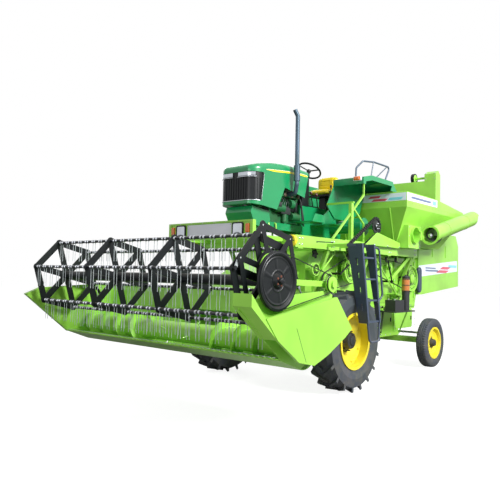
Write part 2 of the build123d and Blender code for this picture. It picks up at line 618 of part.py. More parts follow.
def table_trough():
    """The trough, its back wall and its end walls with the crop dividers."""
    back_r = AUGER_R + AUGER_GAP
    floor = slab([(TABLE_LIP_Y, TABLE_FLOOR_Z - SHEET), (AUGER_Y, TABLE_FLOOR_Z - SHEET),
                  (AUGER_Y, TABLE_FLOOR_Z), (TABLE_LIP_Y, TABLE_FLOOR_Z)], TABLE_RIGHT_X, TABLE_LEFT_X)
    bend = drum(TABLE_RIGHT_X, TABLE_LEFT_X, AUGER_Y, AUGER_Z, back_r + SHEET)
    bend -= drum(TABLE_RIGHT_X - 5, TABLE_LEFT_X + 5, AUGER_Y, AUGER_Z, back_r)
    bend &= block(TABLE_RIGHT_X - 5, TABLE_LEFT_X + 5, AUGER_Y, TABLE_BACK_Y + 50, 0, AUGER_Z)
    wall = block(TABLE_RIGHT_X, TABLE_LEFT_X, TABLE_BACK_Y, TABLE_BACK_Y + SHEET, AUGER_Z, TABLE_TOP_Z)
    top = block(TABLE_RIGHT_X, TABLE_LEFT_X, TABLE_BACK_Y, TABLE_BACK_Y + 80, TABLE_TOP_Z - 80, TABLE_TOP_Z)
    low = block(TABLE_RIGHT_X, TABLE_LEFT_X, TABLE_BACK_Y, TABLE_BACK_Y + 70, AUGER_Z - 60, AUGER_Z + 10)
    far = slab(END_WALL, TABLE_RIGHT_X - SHEET, TABLE_RIGHT_X)
    near = slab(END_WALL, TABLE_LEFT_X, TABLE_LEFT_X + SHEET)
    far_nose = slab([(-2741, 365), (-2575, 517), (-2400, 330), (TABLE_LIP_Y, TABLE_FLOOR_Z - SHEET)],
                    -TABLE_OUT_X, TABLE_RIGHT_X)
    near_nose = slab([(-2761, 385), (-2801, 494), (-2536, 350), (-2300, 215)], TABLE_LEFT_X - 50, TABLE_OUT_X - SHEET)
    trough = joined([wall, floor, bend, top, low, far, near, far_nose, near_nose])
    mouth = block(-FEEDER_HALF + SHEET, FEEDER_HALF - SHEET, TABLE_BACK_Y - 160, TABLE_BACK_Y + 90,
                  FEEDER_LOW_Z + SHEET, FEEDER_LOW_Z + FEEDER_DEPTH - SHEET)
    trough -= mouth
    trough -= block(-FEEDER_HALF, FEEDER_HALF, TABLE_BACK_Y + SHEET, TABLE_BACK_Y + 90, FEEDER_LOW_Z,
                    FEEDER_LOW_Z + FEEDER_DEPTH)
    for x in (TABLE_RIGHT_X - SHEET / 2, TABLE_LEFT_X + SHEET / 2):
        trough -= drum(x - SHEET, x + SHEET, AUGER_Y, AUGER_Z, 30 + RUNNING_GAP)
    # ears that carry the reel arms' pivot
    for x in (-1915, 1740):
        ear = slab([(TABLE_BACK_Y, TABLE_TOP_Z - 60), (TABLE_BACK_Y + 60, TABLE_TOP_Z - 60),
                    (ARM_PIVOT_Y + 40, ARM_PIVOT_Z + 40), (ARM_PIVOT_Y - 40, ARM_PIVOT_Z + 20),
                    (ARM_PIVOT_Y - 40, ARM_PIVOT_Z - 40)], x, x + 12)
        trough = trough.fuse(ear - drum(x - 5, x + 17, ARM_PIVOT_Y, ARM_PIVOT_Z, 24 + RUNNING_GAP))
    # pins that the reel's lift cylinders stand on
    for x, wall in zip(REEL_LIFT_X, (TABLE_RIGHT_X - 2, TABLE_LEFT_X + 2)):
        trough = trough.fuse(drum(min(x - 20, wall), max(x + 20, wall), REEL_FOOT[0], REEL_FOOT[1], 10))
    return raised(trough)


def knife_guards():
    """The row of knife fingers along the table's lip, with their bar and the clips over the knife."""
    z = KNIFE_Z
    bar = block(TABLE_RIGHT_X + 10, TABLE_LEFT_X - 10, TABLE_LIP_Y - 30, TABLE_LIP_Y - RUNNING_GAP, z - 12, z)
    fingers = []
    count = int((TABLE_LEFT_X - TABLE_RIGHT_X - 60) / GUARD_PITCH)
    for index in range(count + 1):
        x = TABLE_RIGHT_X + 35 + index * GUARD_PITCH
        finger = [(x - 11, TABLE_LIP_Y - 20), (x + 11, TABLE_LIP_Y - 20), (x + 4, TABLE_LIP_Y - GUARD_REACH),
                  (x - 4, TABLE_LIP_Y - GUARD_REACH)]
        fingers.append(plan(finger, z - 10, z))
    return raised(bar.fuse(*fingers))


def knife():
    """The knife back with its blades, which slides across on the fingers."""
    z = KNIFE_Z + RUNNING_GAP
    back = block(TABLE_RIGHT_X + 60, TABLE_LEFT_X - 60, TABLE_LIP_Y - 28, TABLE_LIP_Y - 8, z, z + 10)
    blades = []
    count = int((TABLE_LEFT_X - TABLE_RIGHT_X - 200) / GUARD_PITCH)
    for index in range(count + 1):
        x = TABLE_RIGHT_X + 100 + index * GUARD_PITCH
        blades.append(plan([(x - 34, TABLE_LIP_Y - 20), (x + 34, TABLE_LIP_Y - 20), (x + 6, TABLE_LIP_Y - 74),
                            (x - 6, TABLE_LIP_Y - 74)], z, z + 4))
    return raised(back.fuse(*blades))


def table_auger():
    """The table's auger: a tube with two hands of flighting that meet at the feeder."""
    tube = drum(TABLE_RIGHT_X + 15, TABLE_LEFT_X - 15, AUGER_Y, AUGER_Z, AUGER_TUBE_R)
    shaft = drum(TABLE_RIGHT_X - 6, TABLE_LEFT_X + 45, AUGER_Y, AUGER_Z, 30)
    discs = []
    count = int((TABLE_LEFT_X - TABLE_RIGHT_X) / AUGER_PITCH)
    for index in range(count + 1):
        x = TABLE_RIGHT_X + 60 + index * AUGER_PITCH
        lean = 25 if x < 0 else -25
        disc = Pos(x + 60, AUGER_Y, AUGER_Z) * Rot(0, 0, lean) * Rot(0, 90, 0) * Cylinder(AUGER_R * 1.3, 6)
        discs.append(disc & drum(TABLE_RIGHT_X + 15, TABLE_LEFT_X - 15, AUGER_Y, AUGER_Z, AUGER_R))
    return raised(tube.fuse(shaft, *discs))


def feeder_house():
    """The sloping feeder channel, open at the table and at the drum."""
    rear_y, rear_low, rear_top = LIFT_PIVOT_Y - 70, 1240, 1760
    front_y = TABLE_BACK_Y + SHEET
    outline = [(front_y, FEEDER_LOW_Z), (front_y, FEEDER_LOW_Z + FEEDER_DEPTH), (rear_y, rear_top), (rear_y, rear_low)]
    inner = [(front_y - 10, FEEDER_LOW_Z + SHEET), (front_y - 10, FEEDER_LOW_Z + FEEDER_DEPTH - SHEET),
             (rear_y + 10, rear_top - SHEET), (rear_y + 10, rear_low + SHEET)]
    channel = slab(outline, -FEEDER_HALF, FEEDER_HALF) - slab(inner, -FEEDER_HALF + SHEET, FEEDER_HALF - SHEET)
    eyes = []
    for side in (-1, 1):
        eyes.append(block(side * 300, side * 330, -1120, -980, 300, 560))
        ear = slab([(rear_y - 60, LIFT_PIVOT_Z - 110), (rear_y - 60, LIFT_PIVOT_Z + 110),
                    (LIFT_PIVOT_Y + 30, LIFT_PIVOT_Z + 50), (LIFT_PIVOT_Y + 30, LIFT_PIVOT_Z - 50)],
                   side * (FEEDER_HALF - SHEET), side * FEEDER_HALF)
        eyes.append(ear - drum(-FEEDER_HALF - 5, FEEDER_HALF + 5, LIFT_PIVOT_Y, LIFT_PIVOT_Z, TRUNNION_R + RUNNING_GAP))
    return raised(channel.fuse(*eyes))


def drive_guard():
    """The curved sheet over the table's drives on the left, with its folded edge."""
    outline = make_face(Polyline((-2536, 350), (-1487, 919), (-1077, 698), (-1183, 565), (-1443, 305), (-1639, 149),
                                 (-1900, 110), (-2300, 215), close=True))
    fold = TABLE_LEFT_X + 150
    guard = extrude(Plane.YZ.offset(fold) * outline, amount=TABLE_OUT_X - fold)
    guard -= extrude(Plane.YZ.offset(fold - 1) * offset(outline, amount=-SHEET, kind=Kind.INTERSECTION),
                     amount=TABLE_OUT_X - SHEET - fold + 1)
    stay = block(TABLE_LEFT_X + SHEET + 0.3, TABLE_OUT_X - SHEET / 2, -1560, -1500, 520, 580)
    return raised(guard.fuse(stay))


# Reel

def reel_points(r, y, z):
    """Places of the six bats as (y, z), on a circle of radius r about y, z."""
    angles = [radians(REEL_PHASE + 360 / REEL_BATS * index) for index in range(REEL_BATS)]
    return [(y + r * cos(a), z + r * sin(a)) for a in angles]


def hexagon_wheel(x0, x1, y, z, hub_r, hub_hole, boss_hole, spoke_w):
    """A six-sided spider: hub, spokes, rim bars and a bored boss at each corner."""
    corners = reel_points(REEL_R, y, z)
    middle = (x0 + x1) / 2
    pieces = [drum(x0, x1, y, z, hub_r)]
    for index, (cy, cz) in enumerate(corners):
        ny, nz = corners[(index + 1) % REEL_BATS]
        pieces.append(drum(x0, x1, cy, cz, 44))
        pieces.append(strut((middle, y, z), (middle, cy, cz), x1 - x0, spoke_w))
        pieces.append(strut((middle, cy, cz), (middle, ny, nz), x1 - x0, spoke_w))
    wheel = joined(pieces)
    for cy, cz in corners:
        wheel -= drum(x0 - 1, x1 + 1, cy, cz, boss_hole)
    return wheel - drum(x0 - 1, x1 + 1, y, z, hub_hole) if hub_hole else wheel


def reel_frame():
    """The reel's tube, its spiders and the drive disc on its left end."""
    step = (REEL_NEAR_X - REEL_FAR_X) / (REEL_SPIDERS - 1)
    pieces = [drum(REEL_FAR_X - 12, REEL_NEAR_X + 12, REEL_Y, REEL_Z, REEL_TUBE_R)]
    for index in range(REEL_SPIDERS):
        x = REEL_FAR_X + index * step
        pieces.append(hexagon_wheel(x - 6, x + 6, REEL_Y, REEL_Z, 95, 0, BAT_R + RUNNING_GAP, 80))
    pieces.append(drum(REEL_FAR_X - 100, REEL_DISC_X + REEL_DISC_W, REEL_Y, REEL_Z, REEL_SHAFT_R))
    disc = [(0, 0), (0, REEL_DISC_R), (REEL_DISC_W, REEL_DISC_R), (REEL_DISC_W, REEL_DISC_R - 30),
            (REEL_DISC_W - 16, REEL_DISC_R - 45), (REEL_DISC_W - 16, 80), (REEL_DISC_W + 14, 60), (REEL_DISC_W + 14, 0)]
    pieces.append(turned(disc, REEL_DISC_X, REEL_Y, REEL_Z))
    return raised(joined(pieces))


def plumb_bat():
    """One tine bar about the reel's own axle: bar, crank and pairs of spring tines hanging plumb."""
    lean = radians(TABLE_TILT)
    tip_y, tip_z = TINE_DROP * sin(lean), -TINE_DROP * cos(lean)
    bar = drum(REEL_FAR_X - 18, REEL_NEAR_X + 34, 0, 0, BAT_R)
    crank = strut((REEL_NEAR_X + 27, 0, 0), (REEL_NEAR_X + 27, CRANK_Y, CRANK_Z), 10, 34)
    pin = drum(REEL_NEAR_X + 30, REEL_NEAR_X + 48, CRANK_Y, CRANK_Z, 8)
    eye = drum(REEL_NEAR_X + 22, REEL_NEAR_X + 32, CRANK_Y, CRANK_Z, 20)
    tines = []
    count = int((REEL_NEAR_X - REEL_FAR_X - 80 - TINE_GAP) / TINE_PITCH)
    for step in range(count + 1):
        for x in (REEL_FAR_X + 45 + step * TINE_PITCH, REEL_FAR_X + 45 + TINE_GAP + step * TINE_PITCH):
            tines.append(rod((x, 0, 0), (x, tip_y, tip_z), TINE_R))
    return joined([bar, crank, pin, eye] + tines)


def reel_bats():
    """The six tine bars, alike and all plumb, each at its corner of the reel."""
    bat = plumb_bat()
    return [raised(Pos(0, y, z) * bat) for y, z in reel_points(REEL_R, REEL_Y, REEL_Z)]


def reel_ring():
    """The control hexagon that keeps the tines plumb, set off from the reel's axis."""
    y, z = REEL_Y + CRANK_Y, REEL_Z + CRANK_Z
    return raised(hexagon_wheel(REEL_NEAR_X + 38, REEL_NEAR_X + 46, y, z, 205, 172 + RUNNING_GAP, 8 + PIN_GAP, 60))


def reel_arms():
    """The two arms that carry the reel, with the control ring's bearing on the left one."""
    pieces = []
    # columns: inner x and outer x of each arm
    arms = ((-1890, -1890 + ARM_W), (1766, 1766 + ARM_W))
    halves = []
    for x0, x1 in arms:
        middle = (x0 + x1) / 2
        arm = strut((middle, ARM_PIVOT_Y, ARM_PIVOT_Z), (middle, REEL_Y, REEL_Z), x1 - x0, ARM_H)
        lug = slab([(REEL_EYE[0] - 22, REEL_EYE[1] - 15), (REEL_EYE[0] + 22, REEL_EYE[1] - 15),
                    (REEL_EYE[0] + 22, REEL_EYE[1] + 45), (REEL_EYE[0] - 22, REEL_EYE[1] + 45)], x0, x0 + 6)
        arm = arm.fuse(drum(x0, x1, ARM_PIVOT_Y, ARM_PIVOT_Z, 42), drum(x0, x1, REEL_Y, REEL_Z, 50), lug)
        halves.append(arm)
    disc_x = REEL_NEAR_X + 38
    halves[1] = halves[1].fuse(drum(disc_x, disc_x + 8, REEL_Y + CRANK_Y, REEL_Z + CRANK_Z, 172),
                               drum(disc_x + 8, 1770, REEL_Y, REEL_Z, 58))
    for half in halves:
        pieces.append(half - drum(TABLE_RIGHT_X, TABLE_OUT_X, REEL_Y, REEL_Z, REEL_SHAFT_R + RUNNING_GAP))
    tie = drum(-1918, REEL_DISC_X, ARM_PIVOT_Y, ARM_PIVOT_Z, 24)
    lay = drum(REEL_DISC_X, REEL_DISC_X + REEL_DISC_W, ARM_PIVOT_Y, ARM_PIVOT_Z, REEL_LAY_R)
    boss = drum(REEL_DISC_X + REEL_DISC_W, REEL_DISC_X + REEL_DISC_W + 22, ARM_PIVOT_Y, ARM_PIVOT_Z, 40)
    band = belt(REEL_DISC_X + 12, REEL_DISC_X + 28, (REEL_Y, REEL_Z, REEL_DISC_R),
                (ARM_PIVOT_Y, ARM_PIVOT_Z, REEL_LAY_R - 2 * RUNNING_GAP), 6)
    return raised(pieces[0].fuse(pieces[1], tie, lay, boss, band))


# Tractor

def hood_form(inset):
    """The bonnet's outer form, or one drawn in by inset: its side and plan carried through each other, with the
    edges of its top rounded off."""
    side = [Line((NOSE_Y, NOSE_LOW_Z), (NOSE_Y, NOSE_TOP_Z)),
            ThreePointArc((NOSE_Y, NOSE_TOP_Z), (-640, 3119), (HOOD_CREST_Y, HOOD_TOP_Z)),
            Polyline((HOOD_CREST_Y, HOOD_TOP_Z), (HOOD_REAR_Y, HOOD_TOP_Z - 22), (123, 2710), (-361, 2800), (-538, 2467),
                     (NOSE_Y, NOSE_LOW_Z))]
    wrap_y, wrap_x = NOSE_Y + NOSE_WRAP * 0.35, HOOD_HALF - (HOOD_HALF - NOSE_HALF) * 0.35
    above = [ThreePointArc((HOOD_HALF, NOSE_Y + NOSE_WRAP), (wrap_x, wrap_y), (NOSE_HALF, NOSE_Y)),
             Line((NOSE_HALF, NOSE_Y), (-NOSE_HALF, NOSE_Y)),
             ThreePointArc((-NOSE_HALF, NOSE_Y), (-wrap_x, wrap_y), (-HOOD_HALF, NOSE_Y + NOSE_WRAP)),
             Polyline((-HOOD_HALF, NOSE_Y + NOSE_WRAP), (-HOOD_HALF, HOOD_REAR_Y + 40), (HOOD_HALF, HOOD_REAR_Y + 40),
                      (HOOD_HALF, NOSE_Y + NOSE_WRAP))]

    def drawn_in(face):
        return offset(face, amount=-inset, kind=Kind.INTERSECTION) if inset else face

    form = extrude(Plane.YZ.offset(-HOOD_HALF) * drawn_in(make_face(side)), amount=2 * HOOD_HALF)
    form &= extrude(Pos(0, 0, NOSE_LOW_Z - 100) * drawn_in(make_face(above)), amount=3 * HOOD_HALF)
    round_off = [edge for edge in form.edges() if edge.center().Z > NOSE_TOP_Z - 40 and
                 (abs(edge.center().X) > HOOD_HALF / 2 or edge.center().Y < NOSE_Y + 50)]
    return form.fillet(HOOD_EDGE_R - inset, round_off)


def grille_zone(grow):
    """The side-view patch that the grille fills, carried across."""
    return slab([(NOSE_Y - 20, GRILLE_LOW_Z - grow), (-889 + grow, GRILLE_LOW_Z - grow),
                 (-837 + grow, GRILLE_TOP_Z - 30), (-858 + grow, GRILLE_TOP_Z + grow / 2),
                 (NOSE_Y - 20, GRILLE_TOP_Z + grow / 2)], -HOOD_HALF - 1, HOOD_HALF + 1)


def bonnet():
    """The bonnet: a rounded hood, open below and cut away over the engine's side."""
    shell = hood_form(0) - hood_form(SHEET)
    shell -= block(-HOOD_HALF + SHEET, HOOD_HALF - SHEET, NOSE_Y + NOSE_WRAP, HOOD_REAR_Y - SHEET, 2300, 2900)
    return shell - grille_zone(0)


def grille():
    """The dark nose behind the bonnet's opening, with upright slats that follow its curve."""
    nose = (hood_form(SHEET + RUNNING_GAP) - hood_form(SHEET + GRILLE_BACK)) & grille_zone(12)
    band = hood_form(1) - hood_form(SHEET + 4)
    low, high = GRILLE_LOW_Z + 10, LAMP_LOW_Z - 12
    slats = [block(index * SLAT_PITCH - SLAT_W / 2, index * SLAT_PITCH + SLAT_W / 2, NOSE_Y - 1, NOSE_Y + 60, low, high)
             for index in range(-(SLATS // 2), SLATS // 2 + 1)]
    for side in (-1, 1):
        for y in (NOSE_Y + 60, NOSE_Y + 100, NOSE_Y + 140):
            slats.append(block(side * NOSE_HALF, side * HOOD_HALF, y, y + SLAT_W, low, high))
    return nose.fuse(*[slat & band for slat in slats])


def tractor_frame():
    """The tractor's front support, gearbox housing, foot plates and rear axle, less its wheels."""
    y, z = TRACTOR_AXLE_Y, TRACTOR_AXLE_Z
    pieces = [block(-GEARBOX_HALF, GEARBOX_HALF, 200, y + 250, RAIL_TOP_Z + 60, 2620),
              slab([(-990, 2400), (-960, NOSE_LOW_Z - 25), (-600, 2446), (-570, 2330), (-600, 2200), (-900, 2230)],
                   -235, 235),
              drum(-640, 640, y, z, TRACTOR_AXLE_R),
              block(-180, 180, -880, -760, RAIL_TOP_Z - 10, 2260),
              block(-180, 180, y - 60, y + 60, RAIL_TOP_Z + SHEET, 2140),
              block(-120, 120, y + 250, y + 330, 2180, 2480)]
    for side in (-1, 1):
        pieces.append(block(side * (ENGINE_HALF + 20), side * (ENGINE_HALF + 65), -620, 260, 2200, ENGINE_LOW_Z))
        pieces.append(drum(side * 600, side * 780, y, z, TRACTOR_AXLE_R + 35))
        pieces.append(block(side * (GEARBOX_HALF - 10), side * 640, 480, 850, 2330, 2342))
        pieces.append(block(side * (GEARBOX_HALF - 10), side * 620, -70, 240, 2330, 2342))
        pieces.append(slab([(470, 2330), (860, 2330), (860, 2600), (700, 2610), (500, 2470)],
                           side * (FENDER_IN_X - 30), side * (FENDER_IN_X - 18)))
        pieces.append(slab([(-80, 2330), (250, 2330), (250, 2440), (0, 2450)], side * 600, side * 612))
    pieces.append(drum(770, CHAIN_X + CHAIN_W / 2 + 18, y, z, 48))
    return joined(pieces)


def engine():
    """The engine under the bonnet: block, head, sump, radiator with fan, and what is bolted to its sides."""
    half, low, high = ENGINE_HALF, ENGINE_LOW_Z, ENGINE_TOP_Z
    y0, y1 = ENGINE_FRONT_Y, ENGINE_REAR_Y
    pieces = [block(-half, half, y0, y1, low + RUNNING_GAP, high),
              block(-half + 40, half - 40, y0 + 60, y1 - 20, high, high + 130),
              block(-half + 70, half - 70, y0 + 80, y1 - 40, high + 130, high + 190),
              block(-half + 10, half - 10, y0 + 40, y1 - 40, low - 90, low + 10),
              lengthwise(0, high - 40, y0 - 60, y0 + 5, 95), lengthwise(0, high - 40, y0 - 295, y0 - 55, 40),
              lengthwise(0, high - 40, y0 - 240, y0 - 215, 190), lengthwise(0, low + 110, y0 - 40, y0 + 5, 80)]
    # what is bolted to the sides: side, y, z of its middle, length, radius
    table = ((1, -330, 2520, 210, 62), (1, 60, 2420, 190, 55), (1, -60, 2600, 90, 70), (-1, -250, 2500, 200, 60),
             (-1, 40, 2440, 160, 70))
    for side, y, z, length, r in table:
        pieces.append(lengthwise(side * (half + r - 20), z, y - length / 2, y + length / 2, r))
    for y in (-420, -250, -80, 90):
        pieces.append(block(half - 45, half + 75, y - 35, y + 35, high - 10, high + 45))
    pieces.append(block(half + 35, half + 85, -450, 130, high - 5, high + 52))
    pieces.append(post(half + 30, -180, low + 30, low + 190, 42))
    radiator = block(-270, 270, y0 - 350, y0 - 290, NOSE_LOW_Z - 30, 2940)
    return joined(pieces + [radiator])


def fenders():
    """The two fenders over the tractor's missing wheels: a top, a folded lip and a plate on the inner side."""
    top = [(FENDER_FRONT_Y, FENDER_LOW_Z), (FENDER_FRONT_Y, FENDER_FRONT_Z), (1000, FENDER_TOP_Z),
           (1700, FENDER_TOP_Z - 3), (FENDER_REAR_Y, FENDER_LOW_Z)]
    low = [(TANK_FRONT_Y - 15, FENDER_LOW_Z - 8), (1560, 2600), (1180, 2450), (790, 2450), (560, 2640)]
    whole = make_face(Polyline(*top, *low, close=True))
    inside = offset(whole, amount=-SHEET, kind=Kind.INTERSECTION)
    across = FENDER_OUT_X - FENDER_IN_X
    fender = extrude(Plane.YZ.offset(FENDER_IN_X - SHEET) * whole, amount=across + SHEET)
    fender -= extrude(Plane.YZ.offset(FENDER_IN_X) * inside, amount=across - SHEET)
    # all below the lip's edge goes, but for the plate on the inner side
    fender -= block(FENDER_IN_X, FENDER_OUT_X + 1, 500, FENDER_REAR_Y + 1, 2400, FENDER_LOW_Z)
    window = offset(whole, amount=-FENDER_LIP, kind=Kind.INTERSECTION)
    fender -= extrude(Plane.YZ.offset(FENDER_IN_X + 1) * window, amount=across)
    return both(fender)


def hand_rails():
    """The bent rails on the fenders, with an upright and a brace under each."""
    foot = FENDER_TOP_Z - 3
    loop = pipe([(800, 800, FENDER_FRONT_Z + 14), (805, 802, 3220), (870, 890, 3330), (930, 1130, 3345),
                 (930, 1655, 3345), (930, 1500, foot)], 14, 40)
    upright = rod((930, 1040, foot), (930, 1110, 3340), 9)
    brace = rod((930, 1200, foot), (930, 1560, 3340), 9)
    rail = loop.fuse(upright, brace)
    return both(largest(rail - fenders()))


def seat_base():
    """The seat's pan and its bracket on the gearbox."""
    return joined([block(-190, 190, SEAT_Y - 170, SEAT_Y + 170, SEAT_Z - 100, SEAT_Z - 70),
                   block(-60, 60, SEAT_Y - 60, SEAT_Y + 60, 2620, SEAT_Z - 90),
                   block(-150, 150, SEAT_Y + 176, SEAT_Y + 196, SEAT_Z - 100, SEAT_Z + 120),
                   block(-190, 190, SEAT_Y + 100, SEAT_Y + 196, SEAT_Z - 100, SEAT_Z - 80)])


def seat_pads():
    """The plain bodies of the seat's cushion and back."""
    cushion = block(-215, 215, SEAT_Y - 220, SEAT_Y + 170, SEAT_Z - 69.7, SEAT_Z + 30)
    back = block(-200, 200, SEAT_Y + 60, SEAT_Y + 175.7, SEAT_Z + 31, SEAT_Z + 265)
    return group([cushion, back])


def column_axis():
    """The foot of the steering column, its head at the wheel and its lean from upright, in degrees."""
    foot, head = Vector(0, *COLUMN_FOOT), Vector(0, HANDWHEEL_Y, HANDWHEEL_Z)
    return foot, head, degrees(atan2(head.Y - foot.Y, head.Z - foot.Z))


def controls():
    """The dash, the steering column with the pin for the wheel, and the levers beside the seat."""
    foot, head, _ = column_axis()
    along = (head - foot).normalized()
    neck = head - along * 40
    pieces = [block(-200, 200, HOOD_REAR_Y + 4, COLUMN_Y, 2620, 3050), rod(foot, neck, 24),
              rod(neck - along * 5, head - along * 4, COLUMN_PIN_R)]
    # levers: x, y at the foot, lean ahead and height of the knob
    for x, y, lean, top in ((140, 620, 60, 2850), (175, 700, 40, 2830), (-150, 640, 50, 2860)):
        knob = (x, y - lean, top)
        pieces.append(rod((x, y, 2630), knob, 8).fuse(Pos(*knob) * Sphere(22)))
    levers = [block(-185, 185, COLUMN_Y - 10, 720, 2620 + RUNNING_GAP, 2640)]
    return joined(pieces[:3] + levers + pieces[3:])


def handwheel():
    """The tractor's steering wheel, with three spokes and a bored hub."""
    _, head, lean = column_axis()
    rim = Torus(HANDWHEEL_R, 15)
    spokes = [Rot(0, 0, turn * 120) * Pos(HANDWHEEL_R / 2, 0, -6) * Box(HANDWHEEL_R, 22, 10) for turn in range(3)]
    wheel = rim.fuse(*spokes, Pos(0, 0, -10) * Cylinder(34, 36)) - Pos(0, 0, -20) * Cylinder(COLUMN_PIN_R + PIN_GAP, 36)
    return Pos(*head) * Rot(-lean, 0, 0) * wheel


def exhaust():
    """The upright exhaust with its elbow at the manifold, its muffler sleeve and its bent top."""
    stack = pipe([(ENGINE_HALF + 85 + RUNNING_GAP, EXHAUST_Y + 20, ENGINE_TOP_Z + 25),
                  (EXHAUST_X - 40, EXHAUST_Y + 20, ENGINE_TOP_Z + 25), (EXHAUST_X, EXHAUST_Y, ENGINE_TOP_Z + 160),
                  (EXHAUST_X, EXHAUST_Y, EXHAUST_TOP_Z - 90), (EXHAUST_X - 22, EXHAUST_Y - 45, EXHAUST_TOP_Z)],
                 EXHAUST_R, 60)
    return stack.fuse(post(EXHAUST_X, EXHAUST_Y, ENGINE_TOP_Z + 210, ENGINE_TOP_Z + 430, EXHAUST_R + 14))


def platform():
    """The deck between the rails, with the posts and stays under the fenders."""
    pieces = [block(-RAIL_X, RAIL_X, 260, 1640, RAIL_TOP_Z, RAIL_TOP_Z + SHEET)]
    for side in (-1, 1):
        stay = strut((side * 885, 35, RAIL_TOP_Z + 12), (side * 885, 898, 2805), 26, 26)
        head = block(side * 874, side * 896, 885, 907, 2790, FENDER_TOP_Z + 40)
        pieces.append(largest((stay + head) - fenders()))
        pieces.append(block(side * 860, side * 910, 500, 560, RAIL_TOP_Z, 2640))
        pieces.append(strut((side * 885, 900, RAIL_TOP_Z + 290), (side * 885, 550, 2600), 22, 22))
        pieces.append(strut((side * 885, 900, RAIL_TOP_Z + 12), (side * 885, 900, RAIL_TOP_Z + 300), 22, 22))
        pieces.append(block(side * 850, side * 910, -20, 270, RAIL_TOP_Z, RAIL_TOP_Z + SHEET))
    return joined(pieces)


def ladder():
    """The boarding ladder, which leans out past the left drive tyre: a slotted plate, a slim one, steps and rails."""
    half = LADDER_STRINGER / 2

    def level(z):
        """Inner x, width across and forward shift of a stringer at height z."""
        share = (LADDER_TOP_Z - z) / (LADDER_TOP_Z - LADDER_LOW_Z)
        return LADDER_FOOT_X - LADDER_LEAN * (1 - share), 220 - 80 * share, LADDER_SHIFT * (share - 1)

    pieces = []
    for y, slim in ((0, 0), (LADDER_STEP, 90)):
        ends = []
        for z in (LADDER_LOW_Z, LADDER_TOP_Z):
            x, across, shift = level(z)
            ends.append(Pos(x + (across + slim) / 2, y + shift, z) * Rectangle(across - slim, LADDER_STRINGER))
        pieces.append(loft(ends))
    for z in (1150, 1370, 1560, 1750):
        x, across, shift = level(z)
        slot = block(x + across * 0.42, x + across * 0.58, shift - 2 * half, shift + 2 * half, z - 45, z + 45)
        pieces[0] -= slot
    for index in range(4):
        z = LADDER_LOW_Z + 20 + index * LADDER_RISE
        x, across, shift = level(z)
        pieces.append(block(x + 40, x + across - 10, shift, shift + LADDER_STEP, z - 12, z + 12))
    for y in (0, LADDER_STEP):
        pieces.append(block(RAIL_X + RUNNING_GAP, LADDER_FOOT_X + 50, y - half - LADDER_SHIFT, y + half - LADDER_SHIFT,
                            LADDER_TOP_Z - 40, LADDER_TOP_Z))
    x, across, shift = level(LADDER_LOW_Z)
    out = x + across - 20
    pieces.append(pipe([(out, shift, LADDER_LOW_Z + 15), (out + 10, shift + 40, LADDER_FOOT_Z),
                        (out + 10, shift + LADDER_STEP - 30, LADDER_FOOT_Z),
                        (out, shift + LADDER_STEP, LADDER_LOW_Z + 15)], 15, 60))
    x, across, shift = level(LADDER_TOP_Z)
    low_x, low_across, low_shift = level(1300)
    pieces.append(pipe([(x + across - 12, shift + LADDER_STEP, LADDER_TOP_Z - 40),
                        (x + across + 10, shift + LADDER_STEP + 110, LADDER_TOP_Z - 45),
                        (low_x + low_across + 10, low_shift + LADDER_STEP + 95, 1300),
                        (low_x + low_across - 12, low_shift + LADDER_STEP, 1200)], 13, 70))
    return joined(pieces)


def lamp_board():
    """The board across the front: a frame round a sunk plate, on two arms."""
    board = block(-760, 760, -1560, -1500, 1990, 2220) - block(-715, 715, -1561, -1548, 2012, 2198)
    arms = [block(side * 640, side * 700, -1510, -820 - CROSS_W / 2, 1990, 2050) for side in (-1, 1)]
    return joined([board] + arms)


def lamps():
    """Road lamps and indicators in the board, headlamps in the nose and an indicator on each fender."""
    lenses = []
    glass = hood_form(0.5) - hood_form(SHEET)
    for side in (-1, 1):
        lenses.append(block(side * 430, side * 600, -1570, -1548, 2020, 2190))
        lenses.append(block(side * 645, side * 705, -1568, -1548, 2045, 2165))
        lenses.append(glass & block(side * 45, side * 305, NOSE_Y - 5, NOSE_Y + 120, LAMP_LOW_Z + 6, GRILLE_TOP_Z - 4))
        lenses.append(block(side * 800, side * 930, FENDER_FRONT_Y - 45, FENDER_FRONT_Y - RUNNING_GAP,
                            FENDER_FRONT_Z - 55, FENDER_FRONT_Z + 12))
    return group(lenses)


# Drives on the sides

# columns: y and z of the shaft, radius, inner x and outer x, x where the shaft starts
PULLEYS = ((-250, 1640, 95, 760, 800, 660), (60, 1480, 130, 760, 815, 685), (700, 1650, 200, 745, 800, 660),
           (1500, 1740, 130, 735, 795, 660), (2000, 1735, 60, 740, 790, 660), (2830, 1540, 230, 735, 795, 660),
           (1180, 1120, 110, 740, 780, 660), (2300, 1180, 90, 740, 780, 660))
# columns: first and second pulley of the table above, inner x and outer x of the band
BELTS = ((1, 2, 776, 796), (3, 5, 750, 780))


def pulley(y, z, r, x0, x1, start):
    """A dished pulley with a groove round it, on its shaft."""
    w = x1 - x0
    outline = [(0, 0), (0, r), (w * 0.3, r), (w * 0.5, r - 9), (w * 0.7, r), (w, r), (w, r - 22), (w * 0.55, r - 28),
               (w * 0.55, r * 0.35), (w + 10, r * 0.3), (w + 10, 0)]
    return turned(outline, x0, y, z).fuse(drum(start + RUNNING_GAP, x1 + 20, y, z, 28))


def pulleys():
    """Pulleys and their shafts, on the left side of the body."""
    return group(pulley(*row) for row in PULLEYS)


def belts():
    """The flat belts between the pulleys."""
    bands = []
    for first, second, x0, x1 in BELTS:
        bands.append(belt(x0, x1, PULLEYS[first][:3], PULLEYS[second][:3], 8))
    return group(bands)


